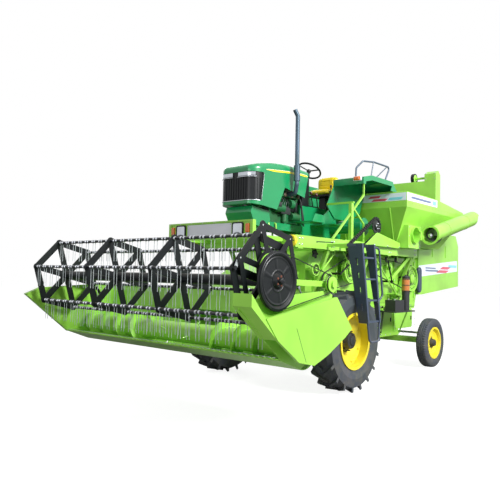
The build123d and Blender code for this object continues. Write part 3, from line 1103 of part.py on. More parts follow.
def sprocket(y, z, r):
    """A toothed disc for the chain."""
    disc = drum(CHAIN_X - 8, CHAIN_X + 8, y, z, r - 6)
    hub = drum(CHAIN_X - CHAIN_W / 2, CHAIN_X + CHAIN_W / 2, y, z, r * 0.45)
    teeth = int(2 * pi * r / CHAIN_PITCH)
    points = []
    for step in range(2 * teeth):
        reach = r + 14 if step % 2 else r - 8
        for lead in (-0.2, 0.2):
            angle = (step + lead) * pi / teeth
            points.append((y + reach * cos(angle), z + reach * sin(angle)))
    return disc.fuse(hub, slab(points, CHAIN_X - 6, CHAIN_X + 6))


def drive_chain():
    """The roller chain from the tractor's axle down to the countershaft, with its two sprockets."""
    top, low = (TRACTOR_AXLE_Y, TRACTOR_AXLE_Z, CHAIN_TOP_R), (COUNTER_Y, COUNTER_Z, CHAIN_LOW_R)
    shaft_x = CHAIN_X + CHAIN_W / 2 + 18
    wheels = [sprocket(*top) - drum(CHAIN_X - CHAIN_W, shaft_x + 1, top[0], top[1], 48 + RUNNING_GAP),
              sprocket(*low).fuse(drum(RAIL_X + RUNNING_GAP, shaft_x, low[0], low[1], 28))]
    band = looped(CHAIN_X - 5, CHAIN_X + 5, top, low, 27) - looped(CHAIN_X - 6, CHAIN_X + 6, top, low, 17)
    line = atan2(low[1] - top[1], low[0] - top[0])
    span = hypot(low[1] - top[1], low[0] - top[0])
    spread = acos((top[2] - low[2]) / span)
    run = span * sin(spread)
    links = []

    def link(y, z, angle):
        plane = Pos(CHAIN_X, y, z) * Rot(degrees(angle), 0, 0)
        links.append(plane * Box(CHAIN_W, CHAIN_PITCH * 0.56, 22))

    for hand in (-1, 1):
        face = line + hand * spread
        for step in range(int(run / CHAIN_PITCH)):
            share = (step + 0.5) * CHAIN_PITCH
            along = face - hand * pi / 2
            link(top[0] + (top[2] + 22) * cos(face) + share * cos(along),
                 top[1] + (top[2] + 22) * sin(face) + share * sin(along), along)
    for (y, z, r), start, sweep_by in ((top, line + spread, 2 * (pi - spread)), (low, line - spread, 2 * spread)):
        count = int(sweep_by * (r + 22) / CHAIN_PITCH)
        for step in range(count):
            angle = start + sweep_by * (step + 0.5) / count
            link(y + (r + 22) * cos(angle), z + (r + 22) * sin(angle), angle + pi / 2)
    return group(wheels + [band.fuse(*links)])


def service_units():
    """The battery and the filter bowls on their bracket at the left side."""
    tray = block(BODY_HALF, 1080, 1600, 2330, 990, 1010)
    battery = block(880, 1060, 1640, 1960, 1010, 1190)
    bowl = post(980, 2180, 1010, 1560, 62)
    return joined([tray, battery, bowl])


# Lift cylinders, opened at their rods' eyes

def table_point(y, z):
    """Where a point of the level table lies once the table is raised."""
    a = radians(-TABLE_TILT)
    dy, dz = y - LIFT_PIVOT_Y, z - LIFT_PIVOT_Z
    return (LIFT_PIVOT_Y + dy * cos(a) - dz * sin(a), LIFT_PIVOT_Z + dy * sin(a) + dz * cos(a))


LIFT_EYE = table_point(-1050, 380)


def cylinder_barrel(x, foot, eye, share, r, pin_r):
    """The barrel of a cylinder, bored at its foot, to a share of the way to the eye."""
    fy, fz = foot
    ey, ez = eye
    gland = (x, fy + (ey - fy) * share, fz + (ez - fz) * share)
    far = (x, fy + (ey - fy) * 1.2, fz + (ez - fz) * 1.2)
    barrel = rod((x, fy, fz), gland, r).fuse(drum(x - r, x + r, fy, fz, r * 1.12))
    near = (x, fy + (ey - fy) * 0.2, fz + (ez - fz) * 0.2)
    return barrel - rod(near, far, r * 0.5 + RUNNING_GAP) - drum(x - r - 1, x + r + 1, fy, fz, pin_r + RUNNING_GAP)


def cylinder_rod(x, foot, eye, share, r):
    """The rod of a cylinder, from inside its barrel to its eye."""
    fy, fz = foot
    ey, ez = eye
    start = (x, fy + (ey - fy) * share, fz + (ez - fz) * share)
    return rod(start, (x, ey, ez), r * 0.5).fuse(drum(x - r * 0.6, x + r * 0.6, ey, ez, r * 0.8))


def lift_barrels():
    return group(cylinder_barrel(side * LIFT_X, LIFT_FOOT, LIFT_EYE, 0.62, 45, LIFT_PIN_R) for side in (-1, 1))


def lift_rods():
    return group(cylinder_rod(side * LIFT_X, LIFT_FOOT, LIFT_EYE, 0.45, 45) for side in (-1, 1))


def reel_barrels():
    return raised(group(cylinder_barrel(x, REEL_FOOT, REEL_EYE, 0.62, REEL_LIFT_R, 10) for x in REEL_LIFT_X))


def reel_rods():
    return raised(group(cylinder_rod(x, REEL_FOOT, REEL_EYE, 0.25, REEL_LIFT_R) for x in REEL_LIFT_X))


def nodes():
    """Every sub-part under its name."""
    made = {
        "chassis_frame": chassis_frame(), "front_axle": front_axle(), "threshing_body": threshing_body(),
        "rear_hood": rear_hood(), "grain_tank": grain_tank(), "grain_elevator": grain_elevator(),
        "auger_box": auger_box(), "unloading_tube": unloading_tube(), "rear_axle": rear_axle(),
        "tie_rod": tie_rod(), "table_trough": table_trough(), "knife_guards": knife_guards(), "knife": knife(),
        "table_auger": table_auger(), "feeder_house": feeder_house(), "drive_guard": drive_guard(),
        "reel_frame": reel_frame(), "reel_ring": reel_ring(), "reel_arms": reel_arms(), "bonnet": bonnet(),
        "grille": grille(), "tractor_frame": tractor_frame(), "engine": engine(), "fenders": fenders(),
        "hand_rails": hand_rails(), "seat_base": seat_base(), "seat_pads": seat_pads(), "controls": controls(),
        "handwheel": handwheel(), "exhaust": exhaust(), "platform": platform(), "ladder": ladder(),
        "lamp_board": lamp_board(), "lamps": lamps(), "pulleys": pulleys(), "belts": belts(), "drive_chain": drive_chain(),
        "service_units": service_units(), "lift_barrels": lift_barrels(), "lift_rods": lift_rods(),
        "reel_barrels": reel_barrels(), "reel_rods": reel_rods(),
    }
    for name, side in (("left", 1), ("right", -1)):
        made["front_tyre_" + name] = front_tyre(side)
        made["front_rim_" + name] = front_rim(side)
        made["rear_tyre_" + name] = rear_tyre(side)
        made["rear_rim_" + name] = rear_rim(side)
        made["knuckle_" + name] = knuckle(side)
    for index, bat in enumerate(reel_bats()):
        made["reel_bat_" + str(index + 1)] = bat
    return made


def main():
    made = nodes()
    low = min(shape.bounding_box().min.Y for shape in made.values())
    high = max(shape.bounding_box().max.Y for shape in made.values())
    os.makedirs("parts", exist_ok=True)
    for name, shape in made.items():
        export_step(Pos(0, -(low + high) / 2, 0) * shape, "parts/" + name + ".step")
    print("middle of the machine from the front axle", round((low + high) / 2, 3))


if __name__ == "__main__":
    main()
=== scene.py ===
# %% [markdown]
# A harvester that carries a farm tractor on its frame, dressed as it stands in a bright yard.
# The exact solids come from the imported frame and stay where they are. Each one gets a
# finish here, and sheets, tyres, chains, pads and small fittings are added as meshes that
# numpy works out from short formulas, in metres.

import bmesh
import bpy
import numpy as np
from mathutils import Matrix, Vector


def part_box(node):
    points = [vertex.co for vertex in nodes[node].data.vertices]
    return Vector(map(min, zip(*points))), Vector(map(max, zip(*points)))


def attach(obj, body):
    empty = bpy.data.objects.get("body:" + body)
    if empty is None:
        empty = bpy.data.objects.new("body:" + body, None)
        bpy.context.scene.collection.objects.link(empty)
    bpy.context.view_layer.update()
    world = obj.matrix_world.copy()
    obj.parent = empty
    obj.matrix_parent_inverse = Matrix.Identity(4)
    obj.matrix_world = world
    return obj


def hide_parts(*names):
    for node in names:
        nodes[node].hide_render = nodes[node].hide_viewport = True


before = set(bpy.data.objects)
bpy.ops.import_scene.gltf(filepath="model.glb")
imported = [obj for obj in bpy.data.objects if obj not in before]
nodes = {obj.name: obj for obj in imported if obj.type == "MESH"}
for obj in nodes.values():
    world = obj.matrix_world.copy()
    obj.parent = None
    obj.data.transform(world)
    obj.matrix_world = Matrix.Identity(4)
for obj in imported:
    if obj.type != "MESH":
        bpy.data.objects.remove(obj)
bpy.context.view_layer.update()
print("solids loaded:", len(nodes))

# %% [markdown]
# Lengths along the machine are easiest to read from the front axle, but the frame's origin
# lies under the middle of the machine. Every place below is given from the axle, and one
# shift, read from the left drive tyre's box, takes what is drawn there to the frame's own.

# %% Places measured from the front axle


def middle(node):
    """Half way between the lowest and highest corner of a node's box."""
    low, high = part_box(node)
    return (np.array(low) + np.array(high)) / 2


ALONG_X, ALONG_Y, UPWARD, AHEAD = (1, 0, 0), (0, 1, 0), (0, 0, 1), (0, -1, 0)
AXLE = middle("front_tyre_left")[1]
WHEEL_X, REAR_X = middle("front_tyre_left")[0], middle("rear_tyre_left")[0]
WHEELBASE = middle("rear_tyre_left")[1] - AXLE
FRONT_Z, REAR_Z = 0.6825, 0.425
SIDES = ((1, "left"), (-1, "right"))


def at(points):
    """Points given as (x, y from the front axle, z), moved into the frame."""
    return np.asarray(points, float) + np.array([0, AXLE, 0])


print("front axle at y", round(AXLE, 4), "wheelbase", round(WHEELBASE, 3))

# %% [markdown]
# The photograph was taken from ahead and to the left of the machine, a little above knee
# height, with the camera tipped up and rolled by about a degree. A camera is placed by
# its three axes: right, up and backwards, written as the columns of a turn matrix.

# %% Camera
AZIMUTH, PITCH, ROLL = np.radians([40.64, 2.63, 1.20])
EYE = at([5.172, -6.742, 1.531])
FOCAL_PX, FRAME_PX, SENSOR = 564.3, 500, 36.0
FAR_END = 200

level = np.array([np.cos(AZIMUTH), np.sin(AZIMUTH), 0.0])
ahead = np.array([-np.sin(AZIMUTH) * np.cos(PITCH), np.cos(AZIMUTH) * np.cos(PITCH), np.sin(PITCH)])
upright = np.cross(level, ahead)
right = np.cos(ROLL) * level + np.sin(ROLL) * upright
up = -np.sin(ROLL) * level + np.cos(ROLL) * upright

camera_data = bpy.data.cameras.new("camera")
camera_data.sensor_width = SENSOR
camera_data.lens = FOCAL_PX / FRAME_PX * SENSOR
camera_data.clip_end = FAR_END
camera = bpy.data.objects.new("camera", camera_data)
turn = np.eye(4)
turn[:3] = np.column_stack([right, up, -ahead, EYE])
camera.matrix_world = Matrix(turn.tolist())
bpy.context.scene.collection.objects.link(camera)
bpy.context.scene.camera = camera
bpy.context.scene.view_settings.view_transform = "Standard"

# %% [markdown]
# The sky, the floor and every finish are small graphs of shader nodes. One helper makes a
# node with its own options. Another feeds its inputs: by a link where the value is another
# node's output, and as a plain value where it isn't.

# %% Node helpers
def feed(tree, node, inputs):
    """Give a node's inputs, named or numbered, a value each or a link from another node's output."""
    for key, value in inputs.items():
        if isinstance(value, bpy.types.NodeSocket):
            tree.links.new(value, node.inputs[key])
        else:
            node.inputs[key].default_value = value


def add_node(tree, kind, inputs=None, **options):
    """The outputs of a new shader node, whose options are set first and whose inputs are then fed."""
    node = tree.nodes.new("ShaderNode" + kind)
    for option, value in options.items():
        setattr(node, option, value)
    feed(tree, node, inputs or {})
    return node.outputs


def mixed(tree, factor, first, second):
    """The colour that goes from the first to the second as the factor goes from 0 to 1."""
    return add_node(tree, "Mix", {"Factor": factor, "A": first, "B": second}, data_type="RGBA")["Result"]


def math(tree, kind, *values, clamp=False):
    """One step of arithmetic on values or outputs."""
    return add_node(tree, "Math", dict(enumerate(values)), operation=kind, use_clamp=clamp)[0]


def new_material(name, colour):
    """A material, its node tree and its surface shader."""
    material = bpy.data.materials.new(name)
    material.use_nodes = True
    material.diffuse_color = colour
    return material, material.node_tree, material.node_tree.nodes["Principled BSDF"]


def opened(material):
    """A finish's node tree, its shader, the colour that goes into it and the place on the object."""
    tree = material.node_tree
    shader = tree.nodes["Principled BSDF"]
    return tree, shader, shader.inputs["Base Color"].links[0].from_socket, add_node(tree, "TexCoord")["Object"]


# %% [markdown]
# The light is that of an open yard under a high sun: a white sky all round, one broad lamp
# high on the machine's left, a weak one ahead and another behind. The sky is plain white
# only to the camera and in reflections, and gives less light than that to the paint, so a
# colour renders about as it is written. The floor is pale and keeps the shadow under the
# wheels.

# %% Light and floor
SKY_LIGHT, WHITE = 0.22, (1, 1, 1, 1)
world = bpy.data.worlds.new("sky")
bpy.context.scene.world = world
world.use_nodes = True
tree = world.node_tree
tree.nodes.clear()
ray = add_node(tree, "LightPath")
seen = math(tree, "MAXIMUM", ray["Is Camera Ray"], ray["Is Glossy Ray"])
seen = math(tree, "MAXIMUM", seen, ray["Is Transmission Ray"])
strength = add_node(tree, "MapRange", {"Value": seen, "To Min": SKY_LIGHT, "To Max": 1.0})["Result"]
sky = add_node(tree, "Background", {"Color": WHITE, "Strength": strength})
add_node(tree, "OutputWorld", {"Surface": sky[0]})


def soft_lamp(name, place, target, size, power):
    """A square area lamp at a place, turned so that it shines at a target."""
    data = bpy.data.lights.new(name, "AREA")
    data.size = size
    data.energy = power
    lamp = bpy.data.objects.new(name, data)
    aim = (Vector(target) - Vector(place)).to_track_quat("-Z", "Y")
    lamp.matrix_world = Matrix.Translation(Vector(place)) @ aim.to_matrix().to_4x4()
    bpy.context.scene.collection.objects.link(lamp)


soft_lamp("key_lamp", (10.5, -1.2, 8.6), (0, 0, 1.4), 4.0, 2600)
soft_lamp("front_lamp", (2.5, -11.0, 4.0), (0, -1.0, 1.2), 5.0, 230)
soft_lamp("back_lamp", (-8.0, 7.0, 7.0), (0, 0, 1.5), 6.0, 380)

FLOOR_HALF, FLOOR_GREY, FLOOR_GLOW = 60.0, (0.3, 0.3, 0.3, 1), 0.885
floor_mesh = bpy.data.meshes.new("floor")
floor_mesh.from_pydata([(x * FLOOR_HALF, y * FLOOR_HALF, 0) for x, y in ((-1, -1), (1, -1), (1, 1), (-1, 1))],
                       [], [(0, 1, 2, 3)])
floor = bpy.data.objects.new("floor", floor_mesh)
bpy.context.scene.collection.objects.link(floor)
pale, tree, shader = new_material("pale_floor", FLOOR_GREY)
glow = math(tree, "MULTIPLY", add_node(tree, "LightPath")["Is Camera Ray"], FLOOR_GLOW)
feed(tree, shader, {"Base Color": FLOOR_GREY, "Roughness": 0.85, "Specular IOR Level": 0.1,
                    "Emission Color": WHITE, "Emission Strength": glow})
floor.data.materials.append(pale)

# %% [markdown]
# Paint on a farm machine is never one flat colour. Three things happen to it: the sun and
# the sprayer leave slow shifts of tone, the surface has a fine orange-peel ripple, and
# chaff and soil dust settle low down and on whatever faces up. All the paints share them,
# so they are one node group with named inputs, placed in each material with its own values.

# %% Shared effect: weathered paint
SHADE_COLOUR = (0.02, 0.05, 0.01, 1)
DUST_BELOW, NO_DUST_ABOVE = 0.1, 1.1


def srgb(red, green, blue):
    """A colour as it is seen on a screen, 0 to 255, turned into linear light."""
    shown = np.array([red, green, blue]) / 255
    linear = np.where(shown <= 0.04045, shown / 12.92, ((shown + 0.055) / 1.055) ** 2.4)
    return tuple(linear) + (1.0,)


def make_weathered():
    """Tone shifts, ripple and dust: dust is how far a point faces up, plus how low it lies, broken by noise."""
    group = bpy.data.node_groups.new("weathered", "ShaderNodeTree")
    sockets = [("Colour", "INPUT", "Color"), ("Dust Colour", "INPUT", "Color")]
    sockets += [(label, "INPUT", "Float") for label in ("Dust", "Tone", "Roughness", "Ripple", "Grain")]
    sockets += [("Colour", "OUTPUT", "Color"), ("Roughness", "OUTPUT", "Float"), ("Height", "OUTPUT", "Float")]
    for label, way, kind in sockets:
        group.interface.new_socket(label, in_out=way, socket_type="NodeSocket" + kind)
    given, result = group.nodes.new("NodeGroupInput").outputs, group.nodes.new("NodeGroupOutput")
    place = add_node(group, "TexCoord")["Object"]

    def noise(scale, detail, rough=0.55):
        """A cloudy pattern over the solid."""
        inputs = {"Vector": place, "Scale": scale, "Detail": detail, "Roughness": rough}
        return add_node(group, "TexNoise", inputs)["Fac"]

    def spread(value, low, high):
        """0 below `low`, 1 above `high`, with a soft step between."""
        inputs = {"Value": value, "From Min": low, "From Max": high}
        return add_node(group, "MapRange", inputs, interpolation_type="SMOOTHSTEP")["Result"]

    def upward_share(vector):
        """The upward part of a vector."""
        return add_node(group, "SeparateXYZ", {0: vector})["Z"]

    slow, patch, fine = noise(1.4, 3), noise(9.0, 6, 0.7), noise(given["Grain"], 2)
    shade = math(group, "MULTIPLY", spread(slow, 0.35, 0.7), given["Tone"])
    toned = mixed(group, shade, given["Colour"], SHADE_COLOUR)
    facing_up = spread(upward_share(add_node(group, "NewGeometry")["Normal"]), 0.35, 0.95)
    depth = math(group, "MULTIPLY", upward_share(place), -1.0)
    low_down = spread(depth, -NO_DUST_ABOVE, -DUST_BELOW)
    settled = math(group, "ADD", math(group, "MULTIPLY", facing_up, 0.55),
                   math(group, "MULTIPLY", low_down, 0.75))
    patchy = math(group, "MULTIPLY", settled, spread(patch, 0.36, 0.66))
    dusty = math(group, "MULTIPLY", patchy, given["Dust"], clamp=True)
    rough = math(group, "ADD", given["Roughness"], math(group, "MULTIPLY", dusty, 0.4))
    feed(group, result, {
        "Colour": mixed(group, dusty, toned, given["Dust Colour"]),
        "Roughness": math(group, "ADD", rough, math(group, "MULTIPLY", patch, 0.08), clamp=True),
        "Height": math(group, "MULTIPLY", fine, given["Ripple"])})
    return group


weathered = make_weathered()
DUST = srgb(176, 160, 124)


def coated(name, colour, rough=0.32, dust=0.3, tone=0.12, ripple=0.12, grain=260.0, metal=0.0, coat=0.0,
           bump=0.0006, specular=0.5):
    """A surface whose colour, roughness and ripple come through the weathered group."""
    material, tree, shader = new_material(name, colour)
    age = add_node(tree, "Group", {"Colour": colour, "Dust Colour": DUST, "Dust": dust, "Tone": tone,
                                   "Roughness": rough, "Ripple": ripple, "Grain": grain}, node_tree=weathered)
    ripples = add_node(tree, "Bump", {"Height": age["Height"], "Strength": 0.4, "Distance": bump})
    feed(tree, shader, {"Base Color": age["Colour"], "Roughness": age["Roughness"], "Normal": ripples["Normal"],
                        "Metallic": metal, "Coat Weight": coat, "Coat Roughness": 0.08,
                        "Specular IOR Level": specular})
    return material


LIME_COLOUR, SLATE_COLOUR = srgb(156, 220, 80), srgb(58, 70, 92)
lime = coated("lime_paint", LIME_COLOUR, 0.32, dust=0.12, tone=0.2, coat=0.2)
leaf = coated("tractor_paint", srgb(14, 140, 84), 0.28, dust=0.12, tone=0.12, coat=0.4)
yolk = coated("yellow_paint", srgb(242, 222, 44), 0.3, dust=0.15, tone=0.1, coat=0.2)
pitch = coated("black_paint", srgb(12, 16, 20), 0.36, dust=0.12, tone=0.05, coat=0.04, specular=0.32)
slate = coated("ladder_paint", SLATE_COLOUR, 0.42, dust=0.16, tone=0.15)
bright = coated("bare_steel", srgb(186, 190, 196), 0.3, dust=0.08, tone=0.1, metal=1.0)
pipe_grey = coated("exhaust_grey", srgb(74, 92, 110), 0.4, dust=0.1, tone=0.4, metal=0.5, grain=60.0)
tubing = coated("rail_grey", srgb(88, 102, 118), 0.34, dust=0.1, tone=0.15, metal=0.2)
rubber = coated("tyre_rubber", srgb(60, 64, 75), 0.66, dust=0.16, tone=0.25, ripple=0.5, grain=90.0,
                bump=0.0012)
belting = coated("belt_rubber", srgb(36, 38, 42), 0.7, dust=0.3, tone=0.1, ripple=0.4, grain=150.0)
dark_cast_and_shade = coated("cast_black_and_painted_shade", srgb(34, 36, 40), 0.5, dust=0.2, tone=0.1, ripple=0.4, grain=120.0)
casting = coated("engine_green", srgb(16, 104, 60), 0.45, dust=0.2, tone=0.75, ripple=0.5, grain=70.0)
oily = coated("oily_steel", srgb(96, 98, 100), 0.38, dust=0.25, tone=0.7, metal=0.7, grain=110.0)
print("finishes made:", len(bpy.data.materials))

# %% [markdown]
# A solid whose shape is already right keeps its mesh and only changes its finish. The
# table below says which paint each body of sheet or casting wears. The reel's bats and
# arms, the ladder, the drive guard and the drive chain get their own finishes further on.

# %% Finishes for the solids
FINISH = {
    lime: ("chassis_frame", "front_axle", "threshing_body", "rear_hood", "grain_tank", "grain_elevator",
           "auger_box", "unloading_tube", "rear_axle", "platform", "lamp_board", "pulleys", "table_trough",
           "table_auger", "feeder_house", "knuckle_left", "knuckle_right", "knife_guards"),
    leaf: ("bonnet", "tractor_frame", "fenders"),
    yolk: ("front_rim_left", "front_rim_right", "rear_rim_left", "rear_rim_right", "seat_pads"),
    pitch: ("grille", "seat_base", "controls", "handwheel", "reel_frame", "reel_ring", "lift_barrels",
            "reel_barrels"),
    tubing: ("hand_rails",),
    pipe_grey: ("exhaust",),
    casting: ("engine",),
    bright: ("tie_rod", "knife", "lift_rods", "reel_rods", "lamps"),
    rubber: ("front_tyre_left", "front_tyre_right", "rear_tyre_left", "rear_tyre_right"),
    belting: ("belts",),
    dark_cast_and_shade: ("service_units",),
}


def dressed(node, material):
    """A solid that keeps its mesh and takes one finish."""
    nodes[node].data.materials.clear()
    nodes[node].data.materials.append(material)


for material, names in FINISH.items():
    for name in names:
        dressed(name, material)
print("solids dressed:", sum(len(names) for names in FINISH.values()))

# %% [markdown]
# Everything added below is a surface: a grid of points with one parameter along each
# side, joined by four-sided faces. A lathe shape spins a profile, a pipe or spring
# carries a ring along a path, and a pressed plate stacks the same outline a few times.
# Working on whole arrays keeps each shape a short formula that is easy to change.
# Rings that shrink to a point are merged afterwards, which closes the ends. A surface is
# drawn from the front axle, and moves into the frame as it becomes a piece.

# %% Surfaces from grids
MERGE_WITHIN, CORNER_DRAW_IN, EDGE_SOFTEN = 2e-6, 1.4, 0.003


def woven(grid, close_u=False, close_v=False):
    """Points and quads of a (u, v, 3) grid: corner (i, j) joins (i+1, j), (i+1, j+1) and (i, j+1)."""
    grid = np.asarray(grid, float)
    nu, nv = grid.shape[:2]
    last_u, last_v = (nu if close_u else nu - 1), (nv if close_v else nv - 1)
    i, j = np.meshgrid(np.arange(last_u), np.arange(last_v), indexing="ij")
    i2, j2 = (i + 1) % nu, (j + 1) % nv
    quads = np.stack([i * nv + j, i2 * nv + j, i2 * nv + j2, i * nv + j2], axis=-1).reshape(-1, 4)
    return grid.reshape(-1, 3), quads


def gathered(parts):
    """Several surfaces as one: each one's face numbers are raised by the points before it."""
    counts = np.cumsum([0] + [len(points) for points, _ in parts])
    return (np.concatenate([points for points, _ in parts]),
            np.concatenate([quads + count for (_, quads), count in zip(parts, counts)]))


def piece(name, parts, material, body="root", sharp=35):
    """One object made of surfaces: close points merged, faces turned out, edges over `sharp` degrees kept."""
    points, quads = gathered(parts)
    mesh = bpy.data.meshes.new(name)
    mesh.from_pydata(at(points).tolist(), [], quads.tolist())
    shape = bmesh.new()
    shape.from_mesh(mesh)
    bmesh.ops.remove_doubles(shape, verts=shape.verts, dist=MERGE_WITHIN)
    bmesh.ops.recalc_face_normals(shape, faces=shape.faces)
    shape.to_mesh(mesh)
    shape.free()
    mesh.shade_smooth()
    mesh.set_sharp_from_angle(angle=np.radians(sharp))
    mesh.materials.append(material)
    made = bpy.data.objects.new(name, mesh)
    bpy.context.scene.collection.objects.link(made)
    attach(made, body)
    return made


def across(axis):
    """Two unit directions square to an axis and to each other, and the axis itself as a unit."""
    axis = np.asarray(axis, float) / np.linalg.norm(axis)
    helper = np.array([0, 0, 1.0]) if abs(axis[2]) < 0.9 else np.array([0, 1.0, 0])
    first = np.cross(helper, axis)
    first /= np.linalg.norm(first)
    return first, np.cross(axis, first), axis


def spun(profile, centre=(0, 0, 0), axis=ALONG_X, turns=32):
    """A profile of (radius, height) spun round: centre + height * axis + radius * (cos a, sin a) across it."""
    first, second, along = across(axis)
    r, h = np.asarray(profile, float).T
    a = np.linspace(0, 2 * np.pi, turns, endpoint=False)
    grid = (np.asarray(centre, float) + h[:, None, None] * along
            + r[:, None, None] * (np.cos(a)[None, :, None] * first + np.sin(a)[None, :, None] * second))
    return woven(grid, close_v=True)


def carried(path, outline, lean=UPWARD):
    """An outline of (side, up) offsets carried along a path, square to it; up is near the `lean` direction."""
    path = np.asarray(path, float)
    run = np.gradient(path, axis=0)
    run /= np.linalg.norm(run, axis=1, keepdims=True)
    side = np.cross(run, np.broadcast_to(np.asarray(lean, float), path.shape))
    side /= np.linalg.norm(side, axis=1, keepdims=True)
    up_side = np.cross(side, run)
    outline = np.asarray(outline, float)
    grid = path[:, None] + outline[None, :, :1] * side[:, None] + outline[None, :, 1:] * up_side[:, None]
    ends = [np.repeat(path[i][None, None], len(outline), axis=1) for i in (0, -1)]
    return woven(np.concatenate([ends[0], grid, ends[1]]), close_v=True)


def ring(radius, sides=8):
    """The outline of a round bar: (cos a, sin a) times its radius."""
    a = np.linspace(0, 2 * np.pi, sides, endpoint=False)
    return np.stack([radius * np.cos(a), radius * np.sin(a)], axis=1)


def smooth_path(corners, count=40):
    """A curve from the first to the last corner, by three rounds of cutting each corner at its quarters."""
    points = np.asarray(corners, float)
    for _ in range(3):
        near, far = points[:-1] * 0.75 + points[1:] * 0.25, points[:-1] * 0.25 + points[1:] * 0.75
        points = np.concatenate([points[:1], np.stack([near, far], 1).reshape(-1, 3), points[-1:]])
    length = np.concatenate([[0], np.cumsum(np.linalg.norm(np.diff(points, axis=0), axis=1))])
    even = np.linspace(0, length[-1], count)
    return np.stack([np.interp(even, length, points[:, k]) for k in range(3)], axis=1)


def tube(corners, radius, count=28, sides=10):
    """A bent pipe or bar: a ring carried along the smooth curve through its corners."""
    path = smooth_path(corners, count)
    reach = path[-1] - path[0]
    steep = abs(reach[2]) >= 0.8 * np.linalg.norm(reach)
    return carried(path, ring(radius, sides), lean=(1, 0.1, 0) if steep else (0.03, 0.02, 1))


def spring(start, end, radius, wire, loops, sides=6):
    """A coil from start to end: start + t * run + radius * (cos, sin) of 2 pi * loops * t across the run."""
    start, end = np.asarray(start, float), np.asarray(end, float)
    first, second, _ = across(end - start)
    t = np.linspace(0, 1, int(loops * 12))[:, None]
    turn_by = 2 * np.pi * loops * t
    path = start + t * (end - start) + radius * (np.cos(turn_by) * first + np.sin(turn_by) * second)
    return carried(path, ring(wire, sides), lean=end - start)


def layered(outlines, heights, origin, u, v):
    """Outlines of (u, v), one above the other along u x v, joined into one closed surface."""
    u, v = np.asarray(u, float), np.asarray(v, float)
    grid = np.stack([np.asarray(origin, float) + row[:, :1] * u + row[:, 1:] * v + height * np.cross(u, v)
                     for row, height in zip(outlines, heights)])
    return woven(grid, close_v=True)


def pressed(outline, origin, u, v, thick, soften):
    """A plate: its outline (u, v) stacked along u x v, drawn in by `soften` on both faces, which are closed."""
    outline = np.asarray(outline, float)
    centre = outline.mean(0)
    away = outline - centre
    inner = centre + away * (1 - soften * CORNER_DRAW_IN / np.linalg.norm(away, axis=1, keepdims=True))
    point = np.repeat(centre[None], len(outline), 0)
    return layered((point, inner, outline, outline, inner, point), (0, 0, soften, thick - soften, thick, thick),
                   origin, u, v)


def stacked(outline, origin, u, v, rows):
    """Rows of (share, height): centre + share * (outline - centre), raised along u x v; share 0 is a point."""
    outline = np.asarray(outline, float)
    centre = outline.mean(0)
    return layered([centre + share * (outline - centre) for share, _ in rows], [height for _, height in rows],
                   origin, u, v)


def rounded(width, height, corner, count=5):
    """A rectangle about (0, 0) whose corners are quarter circles of `corner` radius, each of `count` points."""
    a = np.linspace(0, np.pi / 2, count)
    quarter = corner * np.stack([np.cos(a), np.sin(a)], axis=1)
    spot = np.array([width / 2 - corner, height / 2 - corner])
    turned = [(1, 1, False), (-1, 1, True), (-1, -1, False), (1, -1, True)]
    return np.concatenate([((quarter + spot) * [sx, sy])[::-1 if back else 1] for sx, sy, back in turned])


def brick(low, high, soften=EDGE_SOFTEN):
    """A bar with softened edges between two corners."""
    low, high = np.minimum(low, high), np.maximum(low, high)
    size = high - low
    outline = np.array([(0, 0), (size[0], 0), (size[0], size[1]), (0, size[1])])
    return pressed(outline, low, ALONG_X, ALONG_Y, size[2], min(soften, size.min() / 3))


def repeated(part, places, turns=None):
    """One surface put at many places at once, each with its own turn matrix."""
    points, quads = part
    places = np.asarray(places, float).reshape(-1, 3)
    turns = np.broadcast_to(np.eye(3), (len(places), 3, 3)) if turns is None else turns
    moved = np.einsum("kij,nj->kni", turns, points) + places[:, None]
    steps = np.arange(len(places))[:, None, None] * len(points)
    return moved.reshape(-1, 3), (quads[None] + steps).reshape(-1, 4)


def bolts(places, axis, size=0.012):
    """Hexagon heads on washers, all along one axis: a six-sided profile on a ten-sided one."""
    head = spun([(0, 0.75), (0.82, 0.75), (0.95, 0.66), (0.95, 0.1), (0, 0.1)], axis=UPWARD, turns=6)
    washer = spun([(0, 0.16), (1.35, 0.16), (1.42, 0.0), (0, 0.0)], axis=UPWARD, turns=10)
    points, quads = gathered([head, washer])
    turn_to = np.stack(across(axis), axis=1)
    count = np.asarray(places, float).reshape(-1, 3).shape[0]
    return repeated((points * size, quads), places, np.broadcast_to(turn_to, (count, 3, 3)))


def circle_of(centre, axis, radius, count, start=0.0):
    """Places evenly round a circle square to an axis."""
    first, second, _ = across(axis)
    a = start + np.linspace(0, 2 * np.pi, count, endpoint=False)[:, None]
    return np.asarray(centre, float) + radius * (np.cos(a) * first + np.sin(a) * second)


TILT, PIVOT = np.radians(20.0), np.array([-0.4, 1.5])


def on_table(points):
    """Points of the level table, as (x, y from the front axle, z), turned up with it about its pivot."""
    points = np.asarray(points, float)
    y, z = points[..., 1] - PIVOT[0], points[..., 2] - PIVOT[1]
    turned_y = PIVOT[0] + y * np.cos(TILT) + z * np.sin(TILT)
    turned_z = PIVOT[1] - y * np.sin(TILT) + z * np.cos(TILT)
    return np.stack([points[..., 0], turned_y, turned_z], axis=-1)


def raised(part):
    """A surface drawn on the level table, turned up with it."""
    return on_table(part[0]), part[1]


print("surface helpers ready; table tilt", round(np.degrees(TILT)), "degrees")

# %% [markdown]
# The two rear tyres steer. Theirs is a road-going pattern of blocks: wavy grooves run
# round the tread and short cuts cross its shoulders. The surface is a lathe shape whose
# radius is lowered where a groove runs, so the pattern costs no separate pieces.

# %% Rear tyres
REAR_R, REAR_W, REAR_BEAD = 0.4249, 0.0949, 0.2655
GROOVE_LINES, GROOVE_WAVES, SHOULDER_CUTS = (-0.028, 0.0, 0.028), 45, 60
GROOVE_HALF, GROOVE_DEPTH, CUT_DEPTH = 0.0042, 0.009, 0.008


